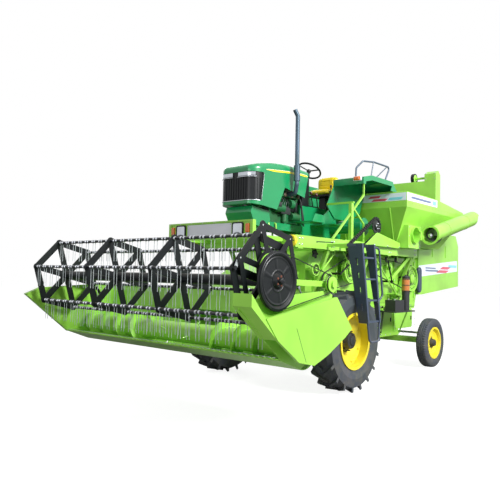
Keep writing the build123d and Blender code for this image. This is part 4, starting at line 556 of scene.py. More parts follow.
def block_tyre(x, y, z, side):
    """A tyre spun about x: radius from its section, less a groove depth that depends on angle and section."""
    section = np.array([(REAR_BEAD + 0.002, -0.070), (0.285, -0.083), (0.31, -0.0925), (0.345, -REAR_W),
                        (0.378, -0.0925), (0.398, -0.086), (0.411, -0.080), (0.4175, -0.0725),
                        (0.421, -0.064), (0.4225, -0.056), (0.4232, -0.047), (0.4238, -0.041),
                        (0.4242, -0.033), (0.4246, -0.024), (0.4248, -0.016), (REAR_R, -0.006)])
    section = np.concatenate([section, section[::-1] * [1, -1]])
    angle = np.linspace(0, 2 * np.pi, 360, endpoint=False)[None, :]
    r, w = section[:, :1], section[:, 1:]
    tread = np.clip((r - 0.405) / 0.012, 0, 1)
    wave = 0.004 * np.sign(np.sin(angle * GROOVE_WAVES))
    grooves = sum(np.exp(-((w - wave - line) / GROOVE_HALF) ** 2) for line in GROOVE_LINES)
    shoulder = np.clip((np.abs(w) - 0.036) / 0.012, 0, 1) * np.clip((r - 0.375) / 0.02, 0, 1)
    cuts = np.sin(angle * SHOULDER_CUTS + np.sign(w) * 0.8) > 0.45
    radius = r - GROOVE_DEPTH * tread * np.clip(grooves, 0, 1) - CUT_DEPTH * shoulder * cuts
    rings = 0.0012 * (np.abs(r - 0.325) < 0.004) * (np.abs(w) > 0.08)
    grid = np.stack([np.broadcast_to(x + side * (w + np.sign(w) * rings), radius.shape),
                     y + radius * np.cos(angle), z + radius * np.sin(angle)], axis=-1)
    return woven(grid, close_u=True, close_v=True)


for side, word in SIDES:
    tyre = piece("rear_tread_" + word, [block_tyre(side * REAR_X, WHEELBASE, REAR_Z, side)], rubber,
                 "rear_wheel_" + word, 28)
    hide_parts("rear_tyre_" + word)
print("rear tyre faces:", len(tyre.data.polygons))

# %% [markdown]
# A wheel is read by its middle. The drive wheels have a heavy black hub with a ring of
# studs, a pressed ring round the dish and bolts at the rim, and the steered wheels a small
# black cap with five studs. All of them are lathe shapes with fasteners set on circles.

# %% Wheel hubs and studs
HUB = [(0.0, 0.132), (0.05, 0.132), (0.06, 0.127), (0.066, 0.1125), (0.098, 0.112), (0.106, 0.108),
       (0.112, 0.09), (0.118, 0.05), (0.142, 0.004), (0.156, -0.016), (0.160, -0.030)]
STUD = [(0.0, 0.075), (0.008, 0.075), (0.009, 0.07), (0.009, 0.0)]
SWAGE = [(0.222, -0.0105), (0.230, 0.002), (0.243, 0.006), (0.256, 0.013), (0.262, 0.010)]
LIP = [(0.3795, 0.1705), (0.3835, 0.1725), (0.3838, 0.165)]
VALVE, VALVE_PLACE = [(0.0, 0.05), (0.005, 0.05), (0.006, 0.0)], (0.045, 0.34)
CAP = [(0.0, 0.098), (0.020, 0.098), (0.030, 0.094), (0.036, 0.0905), (0.0525, 0.0902), (0.055, 0.086),
       (0.067, 0.045), (0.0745, 0.022), (0.082, 0.0205)]
BEAD = [(0.171, 0.0255), (0.179, 0.0315), (0.190, 0.0315), (0.197, 0.0255)]
STUD_CIRCLE, HUB_CIRCLE, RIM_CIRCLE, NUT_CIRCLE = 0.138, 0.083, 0.318, 0.0885
for side, word in SIDES:
    axis, drive_wheel, steered_wheel = np.array([side, 0.0, 0.0]), "front_wheel_" + word, "rear_wheel_" + word
    drive, steered = np.array([side * WHEEL_X, 0, FRONT_Z]), np.array([side * REAR_X, WHEELBASE, REAR_Z])
    cap_bolts = bolts(circle_of(drive + 0.112 * axis, axis, HUB_CIRCLE, 8), axis, 0.0085)
    stud_places = circle_of(drive - 0.006 * axis, axis, STUD_CIRCLE, 8, 0.2)
    studs, nuts = repeated(spun(STUD, axis=axis, turns=8), stud_places), bolts(stud_places, axis, 0.024)
    piece("drive_hub_" + word, [spun(HUB, drive, axis, 40), cap_bolts, studs, nuts], dark_cast_and_shade, drive_wheel)
    rim_bolts = bolts(circle_of(drive + 0.0405 * axis, axis, RIM_CIRCLE, 8, 0.35), axis, 0.013)
    valve = spun(VALVE, drive + [VALVE_PLACE[0] * side, 0, -VALVE_PLACE[1]], axis, 8)
    swage, lip = spun(SWAGE, drive, axis, 56), spun(LIP, drive, axis, 72)
    piece("drive_wheel_trim_" + word, [swage, rim_bolts, lip, valve], yolk, drive_wheel)
    small_nuts = bolts(circle_of(steered + 0.0205 * axis, axis, NUT_CIRCLE, 5, 0.3), axis, 0.0125)
    piece("steer_hub_" + word, [spun(CAP, steered, axis, 28), small_nuts], dark_cast_and_shade, steered_wheel)
    piece("steer_wheel_trim_" + word, [spun(BEAD, steered, axis, 48)], yolk, steered_wheel)
print("hubs made for four wheels")

# %% [markdown]
# The auger behind the knife gathers the crop from both sides. Its flights are helicoids:
# the angle grows steadily along the tube and the sheet runs from the tube out to the rim.
# The two halves wind opposite ways so that both push inwards, and thin fingers in the
# middle hand the crop on to the feeder.

# %% Table auger
AUGER_PLACE = np.array([-1.620, 0.330])
AUGER_REACH, AUGER_TUBE, AUGER_ENDS, STUB_ENDS = 0.2095, 0.125, (-1.921, 1.803), (-1.9418, 1.8629)
FINGER_X = np.linspace(-0.46, 0.46, 12)


def flight(x0, x1, loops, hand):
    """A closed helicoid sheet: place = (x, r cos a, r sin a) with a = hand * 2 pi * loops * t."""
    t = np.linspace(0, 1, int(loops * 28))[:, None]
    a = hand * 2 * np.pi * loops * t
    section = np.array([(AUGER_TUBE - 0.004, -0.002), (AUGER_REACH - 0.001, -0.0015), (AUGER_REACH, 0.0),
                        (AUGER_REACH - 0.001, 0.0015), (AUGER_TUBE - 0.004, 0.002)])
    r, dx = section[:, 0][None], section[:, 1][None]
    grid = [x0 + (x1 - x0) * t + dx, AUGER_PLACE[0] + r * np.cos(a), AUGER_PLACE[1] + r * np.sin(a)]
    return woven(np.stack(grid, axis=-1), close_v=True)


def turns_about_x(angles):
    """Turn matrices about x, one for each angle."""
    c, s, none = np.cos(angles), np.sin(angles), np.zeros(len(angles))
    rows = (none + 1, none, none), (none, c, -s), (none, s, c)
    return np.stack([np.stack(row, 1) for row in rows], axis=1)


def bar_between(ends, radius, sides):
    """A closed round bar on the auger's own line, between two x."""
    profile = [(0, ends[0]), (radius, ends[0]), (radius, ends[1]), (0, ends[1])]
    return spun(profile, (0, *AUGER_PLACE), ALONG_X, sides)


finger = spun([(0, 0.0), (0.007, 0.0), (0.007, 0.078), (0.004, 0.084), (0, 0.084)], axis=UPWARD, turns=6)
finger_angle = np.arange(len(FINGER_X)) * np.radians(150)
finger_places = np.stack([FINGER_X, AUGER_PLACE[0] - 0.124 * np.sin(finger_angle),
                          AUGER_PLACE[1] + 0.124 * np.cos(finger_angle)], axis=1)
auger_parts = [bar_between(AUGER_ENDS, AUGER_TUBE, 40), bar_between(STUB_ENDS, 0.03, 16),
               repeated(finger, finger_places, turns_about_x(finger_angle)),
               flight(AUGER_ENDS[0] + 0.004, -0.52, 4.4, 1), flight(AUGER_ENDS[1] - 0.004, 0.52, 4.0, 1)]
auger = piece("auger_flights", [raised(part) for part in auger_parts], lime, "table_auger")
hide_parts("table_auger")
print("auger faces:", len(auger.data.polygons))

# %% [markdown]
# Each tine is a spring wire: it leaves the bar through a few close coils that let it give
# when it meets a stone. The wire itself is in the solids, so only the coils are added, as
# short ridged sleeves. The paint stops near the bar, and the wires stay bare steel, which
# a mask reads from the distance to the bar.

# %% Reel springs, bars and wires
REEL, BAR_REACH = np.array([-2.352, 0.776]), 0.455
BAR_ANGLES = np.radians(6 + 60 * np.arange(6))
TINE_X = -1.755 + np.concatenate([np.arange(23) * 0.150, np.arange(23) * 0.150 + 0.050])
PAINT_REACH, STEEL_REACH = 0.024, 0.028
SLEEVE = [(0.0172, -0.012), (0.0215, -0.010), (0.0182, -0.006), (0.0215, -0.002), (0.0182, 0.002),
          (0.0215, 0.006), (0.0172, 0.010)]


def wire_material(name, y, z):
    """Black paint within PAINT_REACH of the bar's line at (y, z), bare steel from STEEL_REACH outwards."""
    material = coated(name, srgb(20, 24, 31), 0.34, dust=0.35, tone=0.05)
    tree, shader, paint, place = opened(material)
    offset = add_node(tree, "VectorMath", {0: place, 1: (0, y, z)}, operation="SUBTRACT")[0]
    flat = add_node(tree, "VectorMath", {0: offset, 1: (0, 1, 1)}, operation="MULTIPLY")[0]
    reach = add_node(tree, "VectorMath", {0: flat}, operation="LENGTH")["Value"]
    span = {"Value": reach, "From Min": PAINT_REACH, "From Max": STEEL_REACH}
    edge = add_node(tree, "MapRange", span)["Result"]
    feed(tree, shader, {"Base Color": mixed(tree, edge, paint, srgb(196, 204, 206)),
                        "Metallic": math(tree, "MULTIPLY", edge, 0.55)})
    return material


for number, angle in enumerate(BAR_ANGLES, 1):
    bar = on_table([0, REEL[0] + BAR_REACH * np.cos(angle), REEL[1] + BAR_REACH * np.sin(angle)])
    name = "reel_bat_" + str(number)
    dressed(name, wire_material("bar_and_wires_" + str(number), *at(bar)[1:]))
    sleeves = repeated(spun(SLEEVE, turns=8), bar + TINE_X[:, None] * ALONG_X)
    piece("tine_springs_" + str(number), [sleeves], bright, name, 60)
print("spring sleeves:", len(TINE_X) * len(BAR_ANGLES))

# %% [markdown]
# The reel's drive disc is pressed from sheet: a rolled rim, shallow rings and six ribs
# stiffen it, and its hub is held by a ring of bolts. A lathe surface whose height also
# depends on the angle gives the rings and the ribs in one go.

# %% Reel drive disc
DISC_X, DISC_R, DISC_BORE = 1.874, 0.238, 0.082
angle = np.linspace(0, 2 * np.pi, 144, endpoint=False)[None, :]
radius = np.linspace(DISC_BORE, DISC_R, 34)[:, None]
share = (radius - DISC_BORE) / (DISC_R - DISC_BORE)
ribs = np.clip(np.cos(6 * angle) * 3 - 2.1, 0, 1) * np.sin(np.pi * share) ** 0.5
rings = np.exp(-((share - 0.12) / 0.05) ** 2) + np.exp(-((share - 0.93) / 0.05) ** 2)
height = DISC_X + 0.0005 + 0.006 * np.clip(ribs + rings, 0, 1)
dish = np.stack([height, REEL[0] + radius * np.cos(angle), REEL[1] + radius * np.sin(angle)], axis=-1)
rim_roll = spun([(0.256, 0.0), (0.262, 0.004), (0.272, 0.004), (0.278, 0.0)], (1.8895, *REEL), ALONG_X, 72)
hub_cap = spun([(0.0, 0.046), (0.026, 0.046), (0.03, 0.042), (0.032, 0.014), (0.05, 0.0145), (0.058, 0.012)],
               (1.8900, *REEL), ALONG_X, 28)
hub_bolts = bolts(circle_of((1.9035, *REEL), ALONG_X, 0.045, 5, 0.4), ALONG_X, 0.009)
rusty = coated("rusty_bolts", srgb(120, 66, 48), 0.7, dust=0.3, tone=0.3)
piece("disc_pressing", [raised(part) for part in (woven(dish, close_v=True), rim_roll, hub_cap)], pitch, "reel",
      50)
piece("disc_bolts", [raised(hub_bolts)], rusty, "reel")
print("disc pressing spans", round(2 * DISC_R, 3), "m")

# %% [markdown]
# Lamp glass and mirrors are moulded with fine upright ribs, which a wave pattern draws. The
# plate between the front lamps, the edge of the bonnet's stripe and the shoes of the fender
# lamps are pale enamel.

# %% Lamp finishes
def lens_material(name, colour, ribs, rough=0.12, metal=0.0):
    """Moulded lens or mirror: fine upright ribs from a wave pattern lift its surface."""
    material, tree, shader = new_material(name, colour)
    place = add_node(tree, "TexCoord")["Object"]
    wave = add_node(tree, "TexWave", {"Vector": place, "Scale": ribs, "Distortion": 0.0}, wave_type="BANDS",
                    bands_direction="X")["Fac"]
    cloud = add_node(tree, "TexNoise", {"Vector": place, "Scale": 6.0})["Fac"]
    darker = tuple(0.62 * part for part in colour[:3]) + (1,)
    lifted = add_node(tree, "Bump", {"Height": wave, "Strength": 0.5, "Distance": 0.001})["Normal"]
    feed(tree, shader, {"Base Color": mixed(tree, cloud, colour, darker), "Normal": lifted, "Roughness": rough,
                        "Metallic": metal, "Coat Weight": 0.6})
    return material


mirror = lens_material("lamp_mirror", srgb(206, 212, 220), 26.0, 0.1, 0.85)
clear = lens_material("lamp_lens", srgb(222, 228, 238), 30.0, 0.08)
amber = lens_material("amber_lens", srgb(250, 122, 24), 34.0, 0.2)
enamel = coated("board_enamel", srgb(228, 228, 240), 0.3, dust=0.1, tone=0.04, coat=0.3)
print("lamp finishes ready")

# %% [markdown]
# Across the front hangs a board with a square lamp near each end, an orange indicator beyond
# it and a pale plate between, which is left blank here. A square lamp is a black bezel with
# a ribbed mirror sunk in it. The camera sees the board from the left, so the sides of the
# bezels count as much as their fronts. Each is an outline stacked up with some depth: a row
# is the outline drawn in to a share of its size at its own height.

# %% Lamp board
BOARD_Y, BOARD_Z, LAMP_X, SIGNAL_X = -1.548, 2.105, 0.515, 0.675
BEZEL_ROWS = [(0, 0.0), (1.0, 0.0), (1.0, 0.020), (0.965, 0.0245), (0.86, 0.0245), (0.835, 0.015), (0, 0.013)]
MIRROR_ROWS = [(0, 0.0135), (0.84, 0.0145), (0.82, 0.0195), (0.6, 0.0235), (0.3, 0.025), (0, 0.0255)]
SIGNAL_ROWS = [(0, 0.0), (1.0, 0.0), (1.0, 0.012), (0.93, 0.019), (0.5, 0.021), (0, 0.0215)]
PLATE_ROWS = [(0, 0.0), (1.0, 0.0), (1.0, 0.0025), (0.995, 0.0035), (0, 0.0035)]


def on_board(outline, x, dz, rows):
    """A stack of rows on the board's front, at x and dz above the lamps' line."""
    return stacked(outline, (x, BOARD_Y, BOARD_Z + dz), ALONG_X, UPWARD, rows)


lamp_outline = rounded(0.182, 0.176, 0.024)
signal_outline, foot_outline = rounded(0.062, 0.112, 0.01), rounded(0.062, 0.034, 0.008)
bezels = [on_board(lamp_outline, side * LAMP_X, 0, BEZEL_ROWS) for side in (1, -1)]
mirrors = [on_board(lamp_outline, side * LAMP_X, 0, MIRROR_ROWS) for side in (1, -1)]
signals = [on_board(signal_outline, side * SIGNAL_X, 0.012, SIGNAL_ROWS) for side in (1, -1)]
feet = [on_board(foot_outline, side * SIGNAL_X, -0.064, SIGNAL_ROWS) for side in (1, -1)]
plate = on_board(rounded(0.80, 0.170, 0.006), 0, 0, PLATE_ROWS)
plate_places = [(x, BOARD_Y - 0.0035, z) for x in (-0.385, 0.385) for z in (2.034, 2.176)]
edge_places = [(x, -1.560, z) for x in np.linspace(-0.735, 0.735, 8) for z in (2.000, 2.2095)]
board_bolts = [bolts(plate_places, AHEAD, 0.006), bolts(edge_places, AHEAD, 0.005)]
piece("lamp_bezels", bezels, pitch, "root")
road_lamps = piece("road_lamps", mirrors, mirror, "root")
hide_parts("lamps")
piece("board_plate", [plate], enamel, "root")
piece("side_signals", signals, amber, "root")
piece("clear_signals", feet, clear, "root")
piece("board_bolts", board_bolts, bright, "root")
print("board lamps:", len(mirrors))

# %% [markdown]
# The bonnet's nose wraps round in plan: straight across the middle and a circle to each
# side. The same line, pushed out a little, carries the bright strip round the grille and the
# two slim headlamps. A flat section carried along a path square to it follows the curve.

# %% Nose lamps and bright strip
NOSE_Y, NOSE_HALF, NOSE_SIDE, NOSE_WRAP, NOSE_BULGE = -1.050, 0.220, 0.330, 0.170, 0.35
SIDE_X, LAMP_LINE, LIP_LINE, NOSE_FOOT = 0.3325, 2.9085, 2.8735, 2.5555


def circle_through(a, b, c, count):
    """Points of the circle through three places in a plane, from the first to the last."""
    a, b, c = (np.asarray(p, float) for p in (a, b, c))
    system = np.array([b - a, c - b])
    centre = np.linalg.solve(system, np.array([(b - a) @ (a + b) / 2, (c - b) @ (b + c) / 2]))
    t0, t1 = np.arctan2(*(a - centre)[::-1]), np.arctan2(*(c - centre)[::-1])
    t1 = t0 + (t1 - t0 + np.pi) % (2 * np.pi) - np.pi
    t = np.linspace(t0, t1, count)
    return centre + np.linalg.norm(a - centre) * np.stack([np.cos(t), np.sin(t)], axis=1)


wrap_mid = (NOSE_SIDE - (NOSE_SIDE - NOSE_HALF) * NOSE_BULGE, NOSE_Y + NOSE_WRAP * NOSE_BULGE)
side_arc = circle_through((NOSE_HALF, NOSE_Y), wrap_mid, (NOSE_SIDE, NOSE_Y + NOSE_WRAP), 14)
straight = np.stack([np.linspace(-0.2, 0.2, 9), np.full(9, NOSE_Y)], 1)
nose_line = np.concatenate([side_arc[::-1] * [-1, 1], straight, side_arc])


def on_nose(x0, x1, z, lift, count=24):
    """A path round the nose at one height between two x, pushed outwards by `lift`."""
    run = np.gradient(nose_line, axis=0)
    normal = np.stack([run[:, 1], -run[:, 0]], axis=1)
    line = nose_line + normal / np.linalg.norm(normal, axis=1, keepdims=True) * lift
    x = np.linspace(x0, x1, count)
    return np.stack([x, np.interp(x, line[:, 0], line[:, 1]), np.full(count, z)], axis=1)


slim, lip_outline, strip_outline = (rounded(*sizes, 3) for sizes in
                                    ((0.006, 0.060, 0.0025), (0.012, 0.010, 0.003), (0.006, 0.011, 0.0025)))
head_glass = [carried(on_nose(a, b, LAMP_LINE, 0.003), slim) for a, b in ((0.050, 0.300), (-0.300, -0.050))]
piece("nose_lamps", head_glass, mirror, "root")
lips = [carried(on_nose(a, b, LIP_LINE, 0.004), lip_outline) for a, b in ((0.042, 0.306), (-0.306, -0.042))]
left_side = smooth_path([(SIDE_X, -0.880, NOSE_FOOT), (SIDE_X, -0.889, 2.557), (SIDE_X, -0.8375, 2.909),
                         (SIDE_X, -0.846, 2.938), (SIDE_X, -0.860, 2.9465)], 20)
trims = [carried(on_nose(-0.3285, 0.3285, NOSE_FOOT, 0.002, 60), strip_outline)]
trims += [carried(left_side * [side, 1, 1], strip_outline, lean=ALONG_X) for side in (1, -1)]
piece("nose_strip", lips + trims, bright, "root")

STRIPE_SPINE = np.array([(-0.790, 2.992), (-0.577, 3.004), (-0.250, 3.031), (0.0, 3.041), (0.190, 3.037)])
STRIPE_X, STRIPE_HALF, EDGE_LINE = 0.3298, 0.0135, 0.004
stripe_y = np.linspace(STRIPE_SPINE[0, 0], STRIPE_SPINE[-1, 0], 40)
stripe_z = np.interp(stripe_y, STRIPE_SPINE[:, 0], STRIPE_SPINE[:, 1])
half = (STRIPE_HALF * np.clip((stripe_y - stripe_y[0]) / 0.16, 0.1, 1) ** 0.6
        * np.clip((stripe_y[-1] - stripe_y) / 0.03, 0.3, 1))


def side_bands(low_z, high_z, lift):
    """A thin raised band on each flat side of the bonnet: it follows the spine and stands `lift` out."""
    bands = []
    for side in (1, -1):
        rows = [np.stack([np.full_like(stripe_y, side * (STRIPE_X + out)), stripe_y, z], 1)
                for out, z in ((0, low_z), (lift, low_z), (lift, high_z), (0, high_z))]
        edge = np.stack(rows, axis=1)
        caps = [np.repeat(edge[i].mean(0)[None, None], 4, axis=1) for i in (0, -1)]
        bands.append(woven(np.concatenate([caps[0], edge, caps[1]]), close_v=True))
    return bands


stripe_top = stripe_z + half
piece("bonnet_stripe", side_bands(stripe_z - half, stripe_top, 0.0016), yolk, "root")
piece("bonnet_stripe_edge", side_bands(stripe_top, stripe_top + EDGE_LINE, 0.0014), enamel, "root")
print("nose runs back to y", round(float(nose_line[0, 1]), 3))

# %% [markdown]
# The fenders carry an orange lamp in a pale shoe at their front corners. Under each rail's
# front end sits a yellow cap whose ring of holes and bore are dark discs of painted shade,
# and a thin dark line of painted shade with a bolt at each end stands for the slot in the rail's side.

# %% Fender lamps, rail caps and slots
FENDER_X, FENDER_Y, FENDER_Z = 0.865, 0.750, 3.037
DOME_ROWS = [(0, 0.0), (1.0, 0.0), (1.0, 0.020), (0.93, 0.034), (0.7, 0.042), (0.35, 0.0445), (0, 0.045)]
SHOE_ROWS = [(0, 0.0), (1.0, 0.0), (1.0, 0.022), (0.96, 0.026), (0.2, 0.026), (0, 0.026)]
CAP_PROFILE = [(0.020, 0.0), (0.020, 0.012), (0.026, 0.016), (0.058, 0.014), (0.066, 0.018), (0.0745, 0.014),
               (0.0755, -0.022), (0.072, -0.023)]
SLOT_OUTLINE = [(-0.19, -0.0035), (0.19, -0.0035), (0.19, 0.0035), (-0.19, 0.0035)]
SLOT_ROWS, RAIL_RUN = [(0, 0), (1.0, 0.0), (1.0, 0.002), (0, 0.002)], np.array((0, 0.9993, 0.0375))
domes, shoes, caps, shade_discs, slot_shades_and_bolts = [], [], [], [], []
# The holes and the slot are not cut: dark discs and thin dark strips are painted shade where they open.
shade_disc = spun([(0, 0.0), (0.0085, 0.0), (0.0085, 0.002), (0, 0.002)], axis=AHEAD, turns=10)
for side in (1, -1):
    domes.append(stacked(rounded(0.118, 0.060, 0.02), (side * FENDER_X, FENDER_Y - 0.001, FENDER_Z), ALONG_X,
                         UPWARD, DOME_ROWS))
    shoes.append(stacked(rounded(0.132, 0.070, 0.016), (side * FENDER_X, FENDER_Y - 0.0005, FENDER_Z), ALONG_X,
                         UPWARD, SHOE_ROWS))
    cap_spot = np.array([side * 0.905, -0.964, 1.9925])
    caps.append(spun(CAP_PROFILE, cap_spot, AHEAD, 36))
    shade_discs.append(repeated(shade_disc, circle_of(cap_spot + [0, -0.0148, 0], AHEAD, 0.043, 6)))
    shade_discs.append(spun([(0, 0.0), (0.0195, 0.0), (0.0195, 0.008), (0, 0.006)], cap_spot, AHEAD, 20))
    slot_shades_and_bolts.append(stacked(SLOT_OUTLINE, (side * 0.9502, -0.262, 2.012), side * RAIL_RUN, UPWARD, SLOT_ROWS))
    slot_shades_and_bolts.append(bolts([(side * 0.950, -0.455, 2.0045), (side * 0.950, -0.069, 2.0190)], (side, 0, 0), 0.010))
piece("fender_lamps", domes, amber, "root")
piece("fender_lamp_shoes", shoes, enamel, "root")
piece("rail_caps", caps, yolk, "root")
# The cast black here is painted shade in the cap's holes and the rail's slot; the bolts are real.
piece("rail_cap_and_slot_shades", shade_discs + slot_shades_and_bolts, dark_cast_and_shade, "root")
print("fender lamps and rail caps made")

# %% [markdown]
# The driver's seat is padded: a cushion with raised sides and a back that curves round.
# Each pad starts as a crowned form whose height comes from a formula: thick in the middle,
# thin at the rim, with shallow channels across. Blown up a little as cloth, it gets the
# tight, slightly uneven skin of stuffed vinyl.

# %% Seat pads
VINYL = coated("seat_vinyl", srgb(244, 220, 36), 0.42, dust=0.08, tone=0.06, ripple=0.6, grain=420.0, coat=0.1,
               bump=0.0004)
SEAT = np.array([0.0, 1.150, 2.955])
UPPER_SHARE, CHANNEL_DEPTH, SQUARENESS, PUFF_LIMIT = 0.62, 0.010, 2 / 4.5, 0.006


def pad_form(width, depth, thick, wings, channels, count=44):
    """A closed pad on a superellipse: height = thick * (1 - r^6)^0.5 plus wings at the sides, less channels."""
    u = np.linspace(0, 2 * np.pi, 2 * count, endpoint=False)[None, :]
    shrink = np.concatenate([np.linspace(0, 1, count // 2), np.linspace(1, 0, count // 2)])[:, None]
    upper = np.concatenate([np.ones(count // 2), -np.ones(count // 2)])[:, None]
    x, y = (shrink * np.sign(wave) * np.abs(wave) ** SQUARENESS for wave in (np.cos(u), np.sin(u)))
    crown = np.sqrt(np.clip(1 - shrink ** 6, 0, 1))
    lines = sum(np.exp(-((y - line) / 0.035) ** 2) for line in channels) * (np.abs(x) < 0.62)
    rim_line = np.exp(-((np.abs(x) - 0.66) / 0.03) ** 2) * (np.abs(y) < 0.9)
    top = crown * (thick * UPPER_SHARE + wings * np.abs(x) ** 3 - CHANNEL_DEPTH * (lines + rim_line))
    height = np.where(upper > 0, top, -thick * crown * (1 - UPPER_SHARE))
    return x * width / 2, y * depth / 2, height


def puffed(pad):
    """The pad's mesh blown up as cloth for a few steps, with each point's travel held within PUFF_LIMIT."""
    before = np.empty(len(pad.data.vertices) * 3)
    pad.data.vertices.foreach_get("co", before)
    cloth = pad.modifiers.new("puffed", "CLOTH")
    cloth.settings.use_pressure = True
    cloth.settings.uniform_pressure_force = 3.0
    cloth.settings.effector_weights.gravity = 0.0
    cloth.settings.tension_stiffness = 30
    cloth.settings.compression_stiffness = 30
    cloth.settings.bending_stiffness = 6
    for step in range(1, 13):
        bpy.context.scene.frame_set(step)
    blown = pad.evaluated_get(bpy.context.evaluated_depsgraph_get()).to_mesh()
    after = np.empty(len(blown.vertices) * 3)
    blown.vertices.foreach_get("co", after)
    pad.to_mesh_clear()
    pad.modifiers.remove(cloth)
    bpy.context.scene.frame_set(1)
    moved = (after - before).reshape(-1, 3)
    far = np.linalg.norm(moved, axis=1, keepdims=True)
    moved *= np.minimum(1, PUFF_LIMIT / np.maximum(far, 1e-9))
    pad.data.vertices.foreach_set("co", (before.reshape(-1, 3) + moved).ravel())
    pad.data.update()
    print(pad.name, "swelled by", round(float(far.mean() * 1000), 1), "mm on average")


def soft_pad(name, width, depth, thick, wings, channels, place, lean):
    """A pad turned by `lean` degrees about x, set at its place and puffed."""
    x, y, z = pad_form(width, depth, thick, wings, channels)
    tip = np.radians(lean)
    grid = np.stack([place[0] + x, place[1] + y * np.cos(tip) - z * np.sin(tip),
                     place[2] + y * np.sin(tip) + z * np.cos(tip)], axis=-1)
    pad = piece(name, [woven(grid, close_v=True)], VINYL, "root", 180)
    puffed(pad)
    smooth = pad.modifiers.new("smooth", "SUBSURF")
    smooth.levels = smooth.render_levels = 1
    return pad


cushion = soft_pad("seat_cushion", 0.415, 0.370, 0.082, 0.018, (-0.3, 0.1, 0.5), SEAT + [0, -0.025, -0.034], 0)
soft_pad("seat_backrest", 0.388, 0.228, 0.086, 0.020, (-0.25, 0.35), SEAT + [0, 0.132, 0.148], 90)
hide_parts("seat_pads")
runners = [tube([(x, SEAT[1] - 0.20, 2.913), (x, SEAT[1] + 0.14, 2.913)], 0.006, 8, 6) for x in (0.14, -0.14)]
runners.append(brick((-0.17, SEAT[1] - 0.15, 2.868), (0.17, SEAT[1] + 0.15, 2.884)))
piece("seat_runners", runners, dark_cast_and_shade, "root")
print("seat pads made")

# %% [markdown]
# Some finishes change colour at one place of the same solid: the lay belt beside the lime
# reel arm is black rubber, the ladder's two upper bars are lime where they leave the frame,
# and a dark line marks the seam of the reel's drive guard. One helper adds such bands, each
# between two planes, to a finish. The chain's own finish is plain and grimy.

# %% Finishes with a band
LAY_BELT_X, LADDER_BAR_X = (1.8615, 1.8785), (0.90, 1.262)
SEAM_TOP, SEAM_FOOT, SEAM_HALF = at([2.0, -2.337, 1.040]), at([2.0, -2.171, 0.700]), 0.0035


def banded(name, colour, other, bands, **looks):
    """A coated finish that turns to `other` where low < place . normal < high holds for every band."""
    material = coated(name, colour, **looks)
    tree, shader, paint, place = opened(material)
    factor = 1.0
    for normal, low, high in bands:
        along = add_node(tree, "VectorMath", {0: place, 1: normal}, operation="DOT_PRODUCT")["Value"]
        inside = math(tree, "COMPARE", along, (low + high) / 2, (high - low) / 2)
        factor = math(tree, "MULTIPLY", inside, factor)
    feed(tree, shader, {"Base Color": mixed(tree, factor, paint, other)})
    return material


dressed("reel_arms", banded("reel_arm_paint", LIME_COLOUR, srgb(26, 28, 32), [(ALONG_X, *LAY_BELT_X)],
                            rough=0.3, dust=0.12))
dressed("ladder", banded("ladder_two_tone", SLATE_COLOUR, LIME_COLOUR, [(ALONG_X, *LADDER_BAR_X)], rough=0.42))
seam_run = SEAM_FOOT - SEAM_TOP
seam_normal = np.array([0, -seam_run[2], seam_run[1]]) / np.linalg.norm(seam_run)
seam_at = float(seam_normal @ SEAM_TOP)
seam_bands = [(tuple(seam_normal), seam_at - SEAM_HALF, seam_at + SEAM_HALF),
              (UPWARD, SEAM_FOOT[2], SEAM_TOP[2])]
dressed("drive_guard", banded("guard_paint", LIME_COLOUR, srgb(40, 84, 14), seam_bands, dust=0.12, tone=0.2))
grimy = coated("grimy_chain", srgb(52, 53, 56), 0.5, dust=0.2, tone=0.4, metal=0.4, grain=120.0)
dressed("drive_chain", grimy)
print("banded finishes: 3")

# %% [markdown]
# The chain beside the deck runs round two sprockets, so its path is two arcs joined by
# their outer tangents. Places are taken at even steps along that path, one for each link,
# and every link is the same waisted plate turned to the path's heading.

# %% Drive chain
CHAIN_X, CHAIN_HALF, LINK_PITCH, LINK_THICK = 0.980, 0.0155, 0.0254, 0.004
CHAIN_TOP, CHAIN_LOW = ((1.120, 2.340), 0.110), ((0.400, 1.945), 0.085)
SHIELD_X, SHIELD_THICK, SHIELD_FEET = 1.009, 0.005, (1.02, 1.45, 1.855)
SHIELD = [(0.735, 2.035), (1.060, 2.222), (1.120, 2.240), (1.190, 2.228), (1.885, 2.120), (1.885, 2.035)]


def circle(count):
    """Points (cos a, sin a) evenly round a whole turn, and their angles."""
    a = np.linspace(0, 2 * np.pi, count, endpoint=False)
    return np.stack([np.cos(a), np.sin(a)], axis=1), a


def round_two(first, second, pitch):
    """Even places and headings round two circles; tangents leave them where cos(lean) = (r1 - r2) / distance."""
    (near, r1), (far, r2) = first, second
    reach = np.array(far) - near
    along, lean = np.arctan2(reach[1], reach[0]), np.arccos((r1 - r2) / np.linalg.norm(reach))
    a, b = along + np.linspace(lean, 2 * np.pi - lean, 60), along + np.linspace(-lean, lean, 60)
    loop = np.concatenate([near + r1 * np.stack([np.cos(a), np.sin(a)], 1),
                           far + r2 * np.stack([np.cos(b), np.sin(b)], 1)])
    loop = np.concatenate([loop, loop[:1]])
    length = np.concatenate([[0], np.cumsum(np.linalg.norm(np.diff(loop, axis=0), axis=1))])
    count = int(round(length[-1] / pitch))
    even = np.arange(count) * length[-1] / count
    places = np.stack([np.interp(even, length, loop[:, k]) for k in (0, 1)], axis=1)
    run = np.roll(places, -1, 0) - places
    return places, np.arctan2(run[:, 1], run[:, 0])


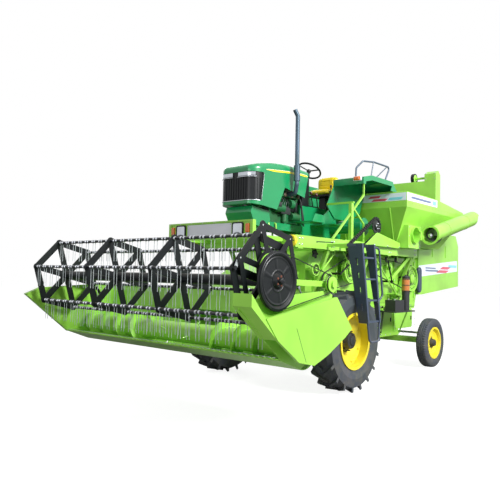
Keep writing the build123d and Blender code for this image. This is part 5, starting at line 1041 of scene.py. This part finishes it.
places, heading = round_two(CHAIN_TOP, CHAIN_LOW, LINK_PITCH)
centres = np.column_stack([np.full(len(places), CHAIN_X), places])
unit, angle = circle(14)
waisted = np.stack([LINK_PITCH / 2 + 0.026 * unit[:, 0], (0.0135 + 0.0025 * np.cos(2 * angle)) * unit[:, 1]], 1)
plates = [pressed(waisted, (x, 0, 0), ALONG_Y, UPWARD, LINK_THICK, 0.001)
          for x in (CHAIN_HALF, -CHAIN_HALF - LINK_THICK)]
PIN_HALF, PIN_R = CHAIN_HALF + 0.007, 0.006
pin = spun([(0, -PIN_HALF), (PIN_R, -PIN_HALF), (PIN_R, PIN_HALF), (0, PIN_HALF)], turns=8)
piece("chain_links", [repeated(part, centres, turns_about_x(heading)) for part in (*plates, pin)], grimy)
shield = pressed(SHIELD, (SHIELD_X, 0, 0), ALONG_Y, UPWARD, SHIELD_THICK, 0.0015)
feet = [brick((0.949, y - 0.02, 2.038), (SHIELD_X + 0.001, y + 0.02, 2.058), 0.002) for y in SHIELD_FEET]
piece("chain_shield", [shield, *feet], lime)
piece("chain_shield_bolts", [bolts([(SHIELD_X + SHIELD_THICK, y, 2.048) for y in SHIELD_FEET], ALONG_X, 0.011)],
      bright)
print("chain links:", len(places))

# %% [markdown]
# Every wheel of the side drives has a raised rim, two grooves drawn as thin dark rings of
# painted shade, a hub cap and five bolts on its outer face, all lathe shapes about x. The
# chain's upper sprocket has a dark hub with six bolts. The wheel on the body's front corner
# has a star knob above it, whose outline is a circle with a five-fold wave.

# %% Side drives
WHEELS = ((-0.25, 1.64, 0.095, 0.800), (0.06, 1.48, 0.130, 0.815), (0.70, 1.65, 0.200, 0.800),
          (1.50, 1.74, 0.130, 0.795), (2.83, 1.54, 0.230, 0.795), (1.18, 1.12, 0.110, 0.780),
          (2.30, 1.18, 0.090, 0.780))
GROOVES, CAP_SHARE, BOLT_SHARE = (0.44, 0.74), 0.34, 0.55
rims, caps, heads, grooves = [], [], [], []
for y, z, r, x in WHEELS:
    place = (x, y, z)
    rims.append(spun([(r - 0.024, -0.001), (r - 0.021, 0.007), (r - 0.003, 0.007), (r - 0.001, -0.001)], place,
                     turns=40))
    caps.append(spun([(r * CAP_SHARE, -0.001), (r * CAP_SHARE, 0.012), (r * 0.27, 0.021), (0.0, 0.0215)], place,
                     turns=28))
    heads.append(bolts(circle_of(place, ALONG_X, r * BOLT_SHARE, 5, 0.4), ALONG_X, 0.010))
    # The grooves are not cut: each is a thin dark ring laid on the face, painted shade.
    for line in (r * share for share in GROOVES):
        grooves.append(spun([(line - 0.004, -0.001), (line - 0.003, 0.0015), (line + 0.003, 0.0015),
                             (line + 0.004, -0.001)], place, turns=40))
piece("wheel_rims", rims, lime)
piece("wheel_caps", caps, lime)
piece("wheel_bolts", heads, dark_cast_and_shade)
# The cast black on these rings is painted shade in the grooves.
piece("wheel_groove_shades", grooves, dark_cast_and_shade)

AXLE_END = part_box("tractor_frame")[1][0]
sprocket_hub = spun([(0, -0.030), (0.062, -0.030), (0.062, -0.008), (0.046, 0.004), (0.030, 0.006), (0, 0.007)],
                    (AXLE_END, *CHAIN_TOP[0]), turns=26)
hub_bolts = bolts(circle_of((AXLE_END + 0.001, *CHAIN_TOP[0]), ALONG_X, 0.046, 6), ALONG_X, 0.008)
piece("sprocket_hub", [sprocket_hub], grimy)
piece("sprocket_bolts", [hub_bolts], bright)

KNOB = np.array([0.785, -0.276, 1.855])
unit, angle = circle(40)
star = pressed((0.056 + 0.012 * np.cos(5 * angle))[:, None] * unit, KNOB, ALONG_Y, UPWARD, 0.028, 0.006)
spindle = spun([(0, -0.02), (0.014, -0.02), (0.014, 0.03), (0, 0.03)], KNOB, turns=14)
hanger = [brick((0.760, -0.300, low_z), (far_x, -0.252, 1.940), 0.002)
          for low_z, far_x in ((1.820, 0.770), (1.920, 0.862))]
piece("star_knob", [star, spindle], pitch)
piece("star_knob_hanger", hanger, lime)
print("side drive wheels:", len(WHEELS))

# %% [markdown]
# Between the rail and the body hang the control rods: round bars from the rail down to
# pins on the body, some lime and some black, and three idler wheels. Each bar bends at its
# listed places, and a pin ends it at the rail or in the body's side.

# %% Control rods under the rail
LINK_X, RAIL_IN_X, HANG_Z, ROD_R, ROD_PIN_R, BRACKET_HALF = 0.835, 0.860, 1.935, 0.0125, 0.017, 0.014
LIME_BARS = (((-0.146, 1.634), (0.058, 1.781), (0.215, HANG_Z)), ((0.372, HANG_Z), (0.589, 1.720)),
             ((1.300, HANG_Z), (1.558, 1.718), (2.125, 1.273)), ((1.622, 1.030), (2.286, 1.234)))
BLACK_BARS = (((0.329, 1.590), (0.642, 1.764), (0.740, HANG_Z)), ((1.776, HANG_Z), (1.963, 1.489)),
              ((2.570, HANG_Z), (2.570, 1.560)))
IDLERS = ((0.586, 1.850, 0.052), (1.802, 1.852, 0.048), (2.142, 1.855, 0.044))
for name, bars, paint in (("lime_rods", LIME_BARS, lime), ("black_rods", BLACK_BARS, pitch)):
    rods = [tube([(LINK_X, y, z) for y, z in bar], ROD_R, 6 * len(bar), 9) for bar in bars]
    pins = []
    for y, z in [end for bar in bars for end in (bar[0], bar[-1])]:
        inner_x, outer_x = (LINK_X - 0.016, RAIL_IN_X + 0.004) if z == HANG_Z else (0.658, LINK_X + 0.018)
        length = outer_x - inner_x
        pin = [(0, 0), (ROD_PIN_R, 0.001), (ROD_PIN_R, length - 0.001), (0, length)]
        pins.append(spun(pin, (inner_x, y, z), turns=14))
    piece(name, rods + pins, paint)
idlers, brackets = [], []
for y, z, r in IDLERS:
    idlers.append(spun([(0, 0), (r, 0.002), (r, 0.008), (r - 0.008, 0.014), (r, 0.020), (r, 0.026),
                        (r * 0.4, 0.028), (r * 0.35, 0.034), (0, 0.034)], (0.806, y, z), turns=28))
    near_y, far_y = y - BRACKET_HALF, y + BRACKET_HALF
    brackets.append(brick((0.838, near_y, z - BRACKET_HALF), (0.844, far_y, HANG_Z + BRACKET_HALF), 0.002))
    brackets.append(brick((0.838, near_y, HANG_Z), (RAIL_IN_X + 0.003, far_y, HANG_Z + 0.010), 0.002))
piece("idler_wheels", idlers, dark_cast_and_shade)
piece("idler_brackets", brackets, lime)
print("rods:", len(LIME_BARS) + len(BLACK_BARS))

# %% [markdown]
# The threshing body is a box of bolted sheets. Doors are thin pressed plates with rounded
# corners, bolts follow its ribs and bars at even steps, and two coil springs keep the
# linkage under the belts tight. The same doors and bolts are on both sides. On the left a
# round stay braces the service tray.

# %% Body sheets, bolts and springs
BODY_X, RIB_X, LOW_BAR, MID_BAR = 0.660, 0.682, (0.690, 0.590), (0.678, 1.0625)
RIBS, BOLT_GAP = (0.48, 1.34, 2.38, 3.18), 0.04
DOOR_RUNS, DOOR_ROWS = ((0.54, 1.28), (1.40, 2.32), (2.44, 3.12)), ((1.13, 1.85), (0.66, 1.00))
RIB_BOLTS, BAR_BOLTS = np.arange(0.70, 1.86, 0.115), np.arange(-0.10, 3.20, 0.165)
SPRING_X, SPRING_ENDS = 0.712, (((1.83, 0.645), (1.92, 1.020)), ((0.92, 0.650), (0.80, 1.015)))
doors, latches, heads = [], [], []
for side in (1, -1):
    for (low_z, high_z), (low_y, high_y) in ((row, run) for row in DOOR_ROWS for run in DOOR_RUNS):
        shape = rounded(high_y - low_y, high_z - low_z, 0.05)
        mid_y, mid_z = (low_y + high_y) / 2, (low_z + high_z) / 2
        face = (side * (BODY_X - 0.001), mid_y, mid_z)
        doors.append(pressed(shape, face, (0, side, 0), UPWARD, 0.007, 0.002))
        latches.append(brick((side * BODY_X, high_y - 0.07, mid_z - 0.035),
                             (side * (BODY_X + 0.016), high_y - 0.045, mid_z + 0.035)))
    for y in RIBS:
        rib_z = [z for z in RIB_BOLTS if abs(z - MID_BAR[1]) > BOLT_GAP]
        heads.append(bolts([(side * RIB_X, y, z) for z in rib_z], (side, 0, 0), 0.008))
    bar_y = [y for y in BAR_BOLTS if np.abs(y - np.array(RIBS)).min() > BOLT_GAP]
    for x, z in (LOW_BAR, MID_BAR):
        heads.append(bolts([(side * x, y, z) for y in bar_y], (side, 0, 0), 0.009))
piece("body_doors", doors, lime)
piece("body_latches", latches, pitch)
piece("body_bolts", heads, bright)

springs, ends = [], []
for low, high in SPRING_ENDS:
    low, high = np.array([SPRING_X, *low]), np.array([SPRING_X, *high])
    springs.append(spring(low + (high - low) * 0.12, low + (high - low) * 0.88, 0.017, 0.0032, 22))
    springs.append(tube([low, high], 0.006, 4, 8))
    ends += [brick(end - [0.035, 0.018, 0.012], end + [0.010, 0.018, 0.012]) for end in (low, high)]
    ends.append(brick(low - [0.035, 0.012, 0.050], low + [-0.015, 0.012, 0.010]))
    ends.append(brick(high - [0.035, 0.012, 0.010], high + [-0.015, 0.012, 0.050]))
piece("link_springs", springs, oily)
piece("link_spring_ends", ends, pitch)
piece("tray_stay", [tube([(1.0, 2.20, 0.994), (0.84, 2.38, 0.80), (0.688, 2.55, 0.60)], 0.013, 14, 10)], lime)
print("doors:", len(doors))

# %% [markdown]
# The bowl on the service tray is amber glass held by dark bands, and the battery beside it
# has two posts, six filler caps and a strap. An upright oval guard stands on the hood's
# front corner, and its outline is a stadium: two half circles joined by straight sides.

# %% Service units and oval guard
BOWL, BOWL_R, BOWL_BANDS = (0.980, 2.180, 0), 0.062, (1.335, 1.43, 1.53)
BATTERY_TOP = 1.189
OVAL_CENTRE, OVAL_HALF, OVAL_R = np.array([0.702, 3.270, 1.523]), 0.170, 0.066
OVAL_FEET_Z = (OVAL_CENTRE[2] - 0.15, OVAL_CENTRE[2] + 0.15)
amber_bowl = coated("amber_bowl", srgb(190, 116, 56), 0.18, dust=0.1, tone=0.5, grain=40.0, coat=0.6)
glass = [(BOWL_R - 0.001, 1.325), (BOWL_R + 0.004, 1.330), (BOWL_R + 0.004, 1.535), (BOWL_R - 0.001, 1.540)]
lid = [(BOWL_R, 1.556), (BOWL_R + 0.006, 1.560), (BOWL_R + 0.004, 1.578), (0.020, 1.590), (0.018, 1.606),
       (0.0, 1.607)]
bands = [[(BOWL_R + 0.003, z - 0.007), (BOWL_R + 0.008, z - 0.005), (BOWL_R + 0.008, z + 0.005),
          (BOWL_R + 0.003, z + 0.007)] for z in BOWL_BANDS]
piece("bowl_glass", [spun(glass, BOWL, UPWARD, 36)], amber_bowl)
piece("bowl_bands", [spun(profile, BOWL, UPWARD, 36) for profile in (*bands, lid)], dark_cast_and_shade)
post, filler = ([(0.0, rise), (top_r, rise), (foot_r, 0.0), (0, 0)]
                for rise, top_r, foot_r in ((0.022, 0.009, 0.011), (0.010, 0.012, 0.014)))
posts = [spun(post, (x, 1.690, BATTERY_TOP), UPWARD, 14) for x in (0.915, 1.025)]
strap = brick((0.872, 1.790, 1.185), (1.068, 1.812, 1.196), 0.002)
piece("battery_posts", [*posts, strap], bright)
fillers = [spun(filler, (0.970, y, BATTERY_TOP), UPWARD, 14) for y in np.linspace(1.715, 1.915, 6)]
piece("battery_fillers", fillers, pitch)

half_turn = np.linspace(0, np.pi, 15)
half_oval = np.stack([OVAL_R * np.cos(half_turn), OVAL_HALF + OVAL_R * np.sin(half_turn)], 1)
stadium = np.concatenate([half_oval, -half_oval])
piece("oval_guard", [pressed(stadium, OVAL_CENTRE, ALONG_Y, UPWARD, 0.055, 0.012)], slate)
feet = [brick((0.660, 3.225, z - 0.02), (0.704, 3.265, z + 0.02)) for z in OVAL_FEET_Z]
piece("oval_guard_feet", feet, pitch)
print("service pieces made")

# %% [markdown]
# A painted band goes round the tank's upper edge and another lies on the hood's side. They
# are thin plates with plain slanted stripes and no words. Each stripe is a slanted
# four-sided outline, so one helper makes them all from their ends along the plate.

# %% Painted bands
chalk = coated("band_white", srgb(226, 236, 246), 0.3, dust=0.05, tone=0.05, coat=0.3)
rose = coated("band_red", srgb(226, 84, 112), 0.3, dust=0.05, tone=0.3, grain=40.0, coat=0.3)
sky_blue = coated("band_blue", srgb(132, 218, 232), 0.3, dust=0.05, tone=0.1, coat=0.3)
ink = coated("band_ink", srgb(96, 112, 148), 0.3, dust=0.05, tone=0.1, coat=0.3)
PLATE_THICK, PLATE_SOFTEN = 0.0016, 0.0005


def slanted(name, origin, run, stripes, lift=0.0):
    """Thin plates over a surface, each leaning by its slant, with one piece for each paint."""
    origin = np.asarray(origin, float) + lift * np.cross(run, UPWARD)
    for material in dict.fromkeys(row[0] for row in stripes):
        parts = [pressed([(start, low), (end, low), (end + slant, high), (start + slant, high)], origin, run,
                         UPWARD, PLATE_THICK, PLATE_SOFTEN)
                 for paint, start, end, low, high, slant in stripes if paint is material]
        piece(name + "_" + material.name, parts, material)


TANK_FRONT, TANK_SIDE, TAIL_SIDE, MARK_LIFT = (0, 1.730, 0), (1.200, 0, 0), (0.7028, 0, 0), 0.0012
BAND_LOW, BAND_HIGH = 2.805, 2.930
TAIL_PLATE = [(3.345, 1.583), (5.236, 1.715), (5.234, 1.940), (3.315, 1.790)]
slanted("tank_front_band", TANK_FRONT, ALONG_X, [(chalk, -1.19, 1.19, BAND_LOW, BAND_HIGH, 0.0)])
slanted("tank_front_mark", TANK_FRONT, ALONG_X, [
    (rose, 0.56, 0.82, 2.812, 2.852, 0.05), (rose, 0.50, 0.70, 2.866, 2.904, 0.05),
    (sky_blue, 0.86, 1.10, 2.820, 2.862, 0.04), (sky_blue, -1.10, -0.86, 2.820, 2.862, -0.04)], MARK_LIFT)
slanted("tank_side_band", TANK_SIDE, ALONG_Y, [(chalk, TANK_FRONT[1] + 0.01, 2.95, BAND_LOW, BAND_HIGH, 0.0)])
slanted("tank_side_mark", TANK_SIDE, ALONG_Y, [
    (ink, 1.88, 2.66, 2.846, 2.884, 0.02), (sky_blue, 2.74, 2.88, 2.83, 2.90, 0.02)], MARK_LIFT)
piece("tail_band", [pressed(TAIL_PLATE, (0.699, 0, 0), ALONG_Y, UPWARD, 0.004, 0.001)], chalk)
slanted("tail_mark", TAIL_SIDE, ALONG_Y, [
    (ink, 3.62, 4.22, 1.690, 1.722, 0.0), (ink, 3.62, 4.10, 1.742, 1.768, 0.0),
    (rose, 4.12, 4.62, 1.672, 1.726, 0.16), (rose, 4.30, 4.72, 1.744, 1.798, 0.16),
    (sky_blue, 4.74, 5.18, 1.790, 1.842, 0.03)])
print("painted bands made")

# %% [markdown]
# Seams, rims and rivets show how the tank and the hood are put together. The tank's rim is
# a round bar carried round its upper edge, and rivets sit at even steps under the band. The
# elevator gets its belt wheel and the bolts of its front sheet.
# A screw shows in the unloading tube's mouth: its sheet winds round a hub as it goes in.

# %% Tank, hood, elevator and tube details
RIM_Z, RIVET_Z, HOOD_X, HOOD_PROUD = 2.938, 2.765, 0.700, 0.010
RIM_CORNERS = [(-1.190, 2.95, RIM_Z), (-1.190, 1.740, RIM_Z), (1.190, 1.740, RIM_Z), (1.190, 2.95, RIM_Z)]
rim = [carried(ends, ring(0.010)) for ends in zip(RIM_CORNERS, RIM_CORNERS[1:])]
seams = [carried([(x, 1.899, 2.115), (x, 1.731, 2.695)], ring(0.009)) for x in (-0.90, 0.0, 0.90)]
rivets = [bolts([(x, 1.7295, RIVET_Z) for x in np.linspace(-1.15, 1.15, 16)], AHEAD, 0.006)]
rivets += [bolts([(side * 1.2005, y, RIVET_Z) for y in np.linspace(1.80, 4.10, 18)], (side, 0, 0), 0.006)
           for side in (1, -1)]
piece("tank_rim", rim, lime)
piece("tank_seams", seams, lime)
piece("tank_rivets", rivets, lime)

hood_ribs = [brick((side * (HOOD_X - 0.001), y - 0.018, 1.98),
                   (side * (HOOD_X + HOOD_PROUD), y + 0.018, 2.22), 0.004)
             for side in (1, -1) for y in (3.95, 4.60)]
hood_rivets = [bolts([(side * HOOD_X, y, 1.50 + 0.08 * (y - 3.4)) for y in np.arange(3.50, 5.25, 0.16)],
                     (side, 0, 0), 0.006) for side in (1, -1)]
piece("hood_ribs", hood_ribs, lime)
piece("hood_rivets", hood_rivets, lime)

belt_wheel = spun([(0.0795, -0.031), (0.084, -0.031), (0.097, -0.026), (0.097, 0.026), (0.084, 0.031),
                   (0.0795, 0.031)], (0.705, 3.080, 3.380), turns=36)
piece("elevator_belt_wheel", [belt_wheel], pitch)
elevator_heads = [(x, 3.0205, z) for x in (0.955, 1.117) for z in np.arange(3.05, 3.48, 0.10)]
piece("elevator_bolts", [bolts(elevator_heads, AHEAD, 0.007)], bright)
BOX_HEADS = ((1.935, 2.08), (1.935, 2.24), (1.935, 2.385), (2.10, 2.075), (2.335, 2.08), (2.335, 2.24),
             (2.335, 2.385))
piece("auger_box_bolts", [bolts([(1.1495, y, z) for y, z in BOX_HEADS], ALONG_X, 0.008)], bright)

TUBE_FOOT, SCREW_PLACE = np.array([1.353, 2.26, 2.26]), np.array([1.353, 2.290, 2.260])
TUBE_RISE, SCREW_LOOPS, SCREW_LENGTH = np.radians(13.0), 1.3, 0.27
CLAMP = [(0.134, -0.02), (0.1395, -0.018), (0.1395, 0.018), (0.134, 0.02)]
SCREW_HUB = [(0.0, -0.012), (0.020, -0.010), (0.036, 0.0), (0.036, 0.30), (0.0, 0.30)]
tube_run = np.array([0, np.cos(TUBE_RISE), np.sin(TUBE_RISE)])
clamps = [spun(CLAMP, TUBE_FOOT + reach * tube_run, tube_run, 40) for reach in (0.62, 1.55)]
turn_by = np.linspace(0, SCREW_LOOPS * 2 * np.pi, 60)[:, None]
reach = np.linspace(0.034, 0.118, 5)[None, :]
depth = 0.02 + SCREW_LENGTH * turn_by / turn_by.max() + 0 * reach
sheet = SCREW_PLACE + np.stack([reach * np.cos(turn_by), depth, reach * np.sin(turn_by)], axis=-1)
screw = woven(np.concatenate([sheet, sheet[:, ::-1] + [0, 0.004, 0]], axis=1), close_v=True)
piece("tube_clamps", clamps, lime, body="unloading_tube")
piece("tube_screw_hub", [spun(SCREW_HUB, SCREW_PLACE, ALONG_Y, 24)], bright, body="unloading_tube")
piece("tube_screw", [screw], oily, body="unloading_tube")
print("sheet details made")

# %% [markdown]
# What shows of the engine between the bonnet and its frame: coolant hoses, injection pipes
# from the pump to the head, twin filters, the exhaust manifold's flanges and a generator.
# Pipes are rings carried along smoothed corner paths. Four posts hold up the bonnet's
# sheet, and each ends at the height where a ray meets it. Levers stand by the seat, and a
# lime hook and a lime bar are on the left side of the frame.

# %% Engine details
HOSES = (
    ([(0.10, -0.800, 2.860), (0.11, -0.70, 2.885), (0.10, -0.56, 2.870), (0.09, -0.46, 2.800)], 0.022, 30, 12),
    ([(0.14, -0.800, 2.540), (0.15, -0.70, 2.510), (0.155, -0.58, 2.480), (0.13, -0.49, 2.450)], 0.022, 30, 12),
    ([(0.200, 0.187, 2.70), (0.232, 0.190, 2.60), (0.236, 0.200, 2.44), (0.230, 0.215, 2.31)], 0.011, 26, 8),
    ([(0.185, 0.205, 2.64), (0.215, 0.230, 2.54), (0.222, 0.260, 2.40), (0.205, 0.290, 2.30)], 0.009, 26, 8))
PUMP_LOW, PUMP_HIGH = (0.148, -0.300, 2.440), (0.225, -0.080, 2.545)
PUMP_OUTLETS = (-0.27, -0.215, -0.16, -0.105)
GENERATOR = [(0.0, -0.075), (0.052, -0.070), (0.058, -0.062), (0.058, 0.062), (0.052, 0.070), (0.0, 0.075)]
GRIP = [(0, -0.030), (0.012, -0.028), (0.016, 0.0), (0.015, 0.022), (0, 0.028)]
HOOK_PATH = [(0.212, -0.600, 2.285), (0.240, -0.600, 2.280), (0.240, -0.598, 2.160), (0.240, -0.520, 2.150),
             (0.240, -0.442, 2.160), (0.240, -0.440, 2.280), (0.212, -0.440, 2.285)]
LEVER_PATH = [(0.176, 0.900, 2.600), (0.222, 0.930, 2.740), (0.228, 0.985, 2.920), (0.216, 1.020, 3.000)]
REST_PLACES = ((0.190, -0.820, 2.935), (0.110, 0.080, 2.880))
REST_R, REST_PAD_R, REST_PAD = 0.013, 0.024, 0.010

piece("engine_hoses", [tube(*hose) for hose in HOSES], belting)
outlet = [(0, -0.002), (0.013, 0), (0.013, 0.018), (0.008, 0.022), (0, 0.022)]
outlets = [spun(outlet, (0.195, y, 2.543), UPWARD, 12) for y in PUMP_OUTLETS]
generator = spun(GENERATOR, (0.205, -0.400, 2.560), ALONG_Y, 26)
piece("injection_pump", [brick(PUMP_LOW, PUMP_HIGH, 0.008), *outlets, generator], dark_cast_and_shade)
lines = [tube([(0.195, y, 2.560), (0.212, y, 2.600), (0.205, 0.62 * y - 0.04, 2.655),
               (0.150, 2.6 * y + 0.33, 2.740)], 0.004, 20, 6) for y in PUMP_OUTLETS]
piece("injection_lines", lines, bright)
filters = [spun([(0, 0.0), (0.034, 0.003), (0.038, 0.012), (0.038, 0.120), (0.043, 0.124), (0.043, 0.140),
                 (0.02, 0.146), (0, 0.146)], (0.188, y, 2.490), UPWARD, 24) for y in (-0.015, 0.075)]
piece("fuel_filters", filters, pitch)
flange = [(0, -0.03), (0.030, -0.03), (0.030, 0.012), (0.024, 0.016), (0, 0.016)]
burnt_iron = coated("burnt_iron", srgb(104, 84, 72), 0.6, dust=0.1, tone=0.5)
flanges = [spun(flange, (0.236, y, 2.722), turns=20) for y in np.linspace(-0.40, 0.08, 4)]
piece("manifold_flanges", flanges, burnt_iron)
piece("frame_hook", [tube(HOOK_PATH, 0.012, 50, 10)], lime)
piece("cross_bar", [brick((0.436, 0.562, 2.640), (0.905, 0.592, 2.670), 0.004)], lime)


def bonnet_rest(x, y, foot):
    """A post from a place below up to the bonnet's sheet, whose height is read from the bonnet's own mesh."""
    found, spot, _, _ = nodes["bonnet"].ray_cast(Vector(at([x, y, foot])), Vector(UPWARD))
    top = spot.z - foot if found else REST_PAD
    return spun([(0, 0), (REST_R, 0), (REST_R, top - REST_PAD), (REST_PAD_R, top - REST_PAD), (REST_PAD_R, top),
                 (0, top)], (x, y, foot), UPWARD, 14)


piece("bonnet_rests", [bonnet_rest(side * x, y, foot) for side in (1, -1) for x, y, foot in REST_PLACES], pitch)
knob = [(0, -0.026), (0.018, -0.022), (0.027, -0.004), (0.026, 0.010), (0.016, 0.024), (0, 0.028)]
knob_places = ((0.140, 0.560, 2.850), (0.175, 0.660, 2.830), (-0.150, 0.590, 2.860))
brown = coated("knob_brown", srgb(74, 36, 34), 0.3, dust=0.1)
piece("lever_knobs", [spun(knob, place, UPWARD, 20) for place in knob_places], brown)
piece("side_lever", [tube(LEVER_PATH, 0.007, 20, 8), spun(GRIP, (0.216, 1.020, 3.010), UPWARD, 16)], dark_cast_and_shade)
print("engine pieces made")

# %% [markdown]
# The two long rails carry everything, and bolts mark where the cross beams meet them. A
# thin dark plate of painted shade on the left one stands for its slot. The cutting table's back has folded
# stiffeners, drawn on the level table and turned up with it.

# %% Rails and table
RAIL_X, BEAM_Y, STIFF_X = 0.950, (-0.82, -0.06, 1.65, 2.60), (-1.75, -1.40, -1.05, 1.05, 1.40, 1.70)
SLOT = [(-0.457, 2.000), (-0.071, 2.012), (-0.071, 2.026), (-0.457, 2.014)]
rail_places = [(y + dy, z) for y in BEAM_Y for dy in (-0.03, 0.03) for z in (1.955, 2.030)]
rail_heads = [bolts([(side * RAIL_X, y, z) for y, z in rail_places], (side, 0, 0), 0.010) for side in (1, -1)]
piece("rail_bolts", rail_heads, bright)
# The slot is not cut: this black plate is painted shade where it opens.
piece("rail_slot_shade", [pressed(SLOT, (RAIL_X, 0, 0), ALONG_Y, UPWARD, 0.0015, 0.0004)], pitch)
stiff = [raised(brick((x - 0.02, -1.392, 0.16), (x + 0.02, -1.362, 0.95), 0.004)) for x in STIFF_X]
piece("table_stiffeners", stiff, lime, body="table")
print("rail and table pieces made")
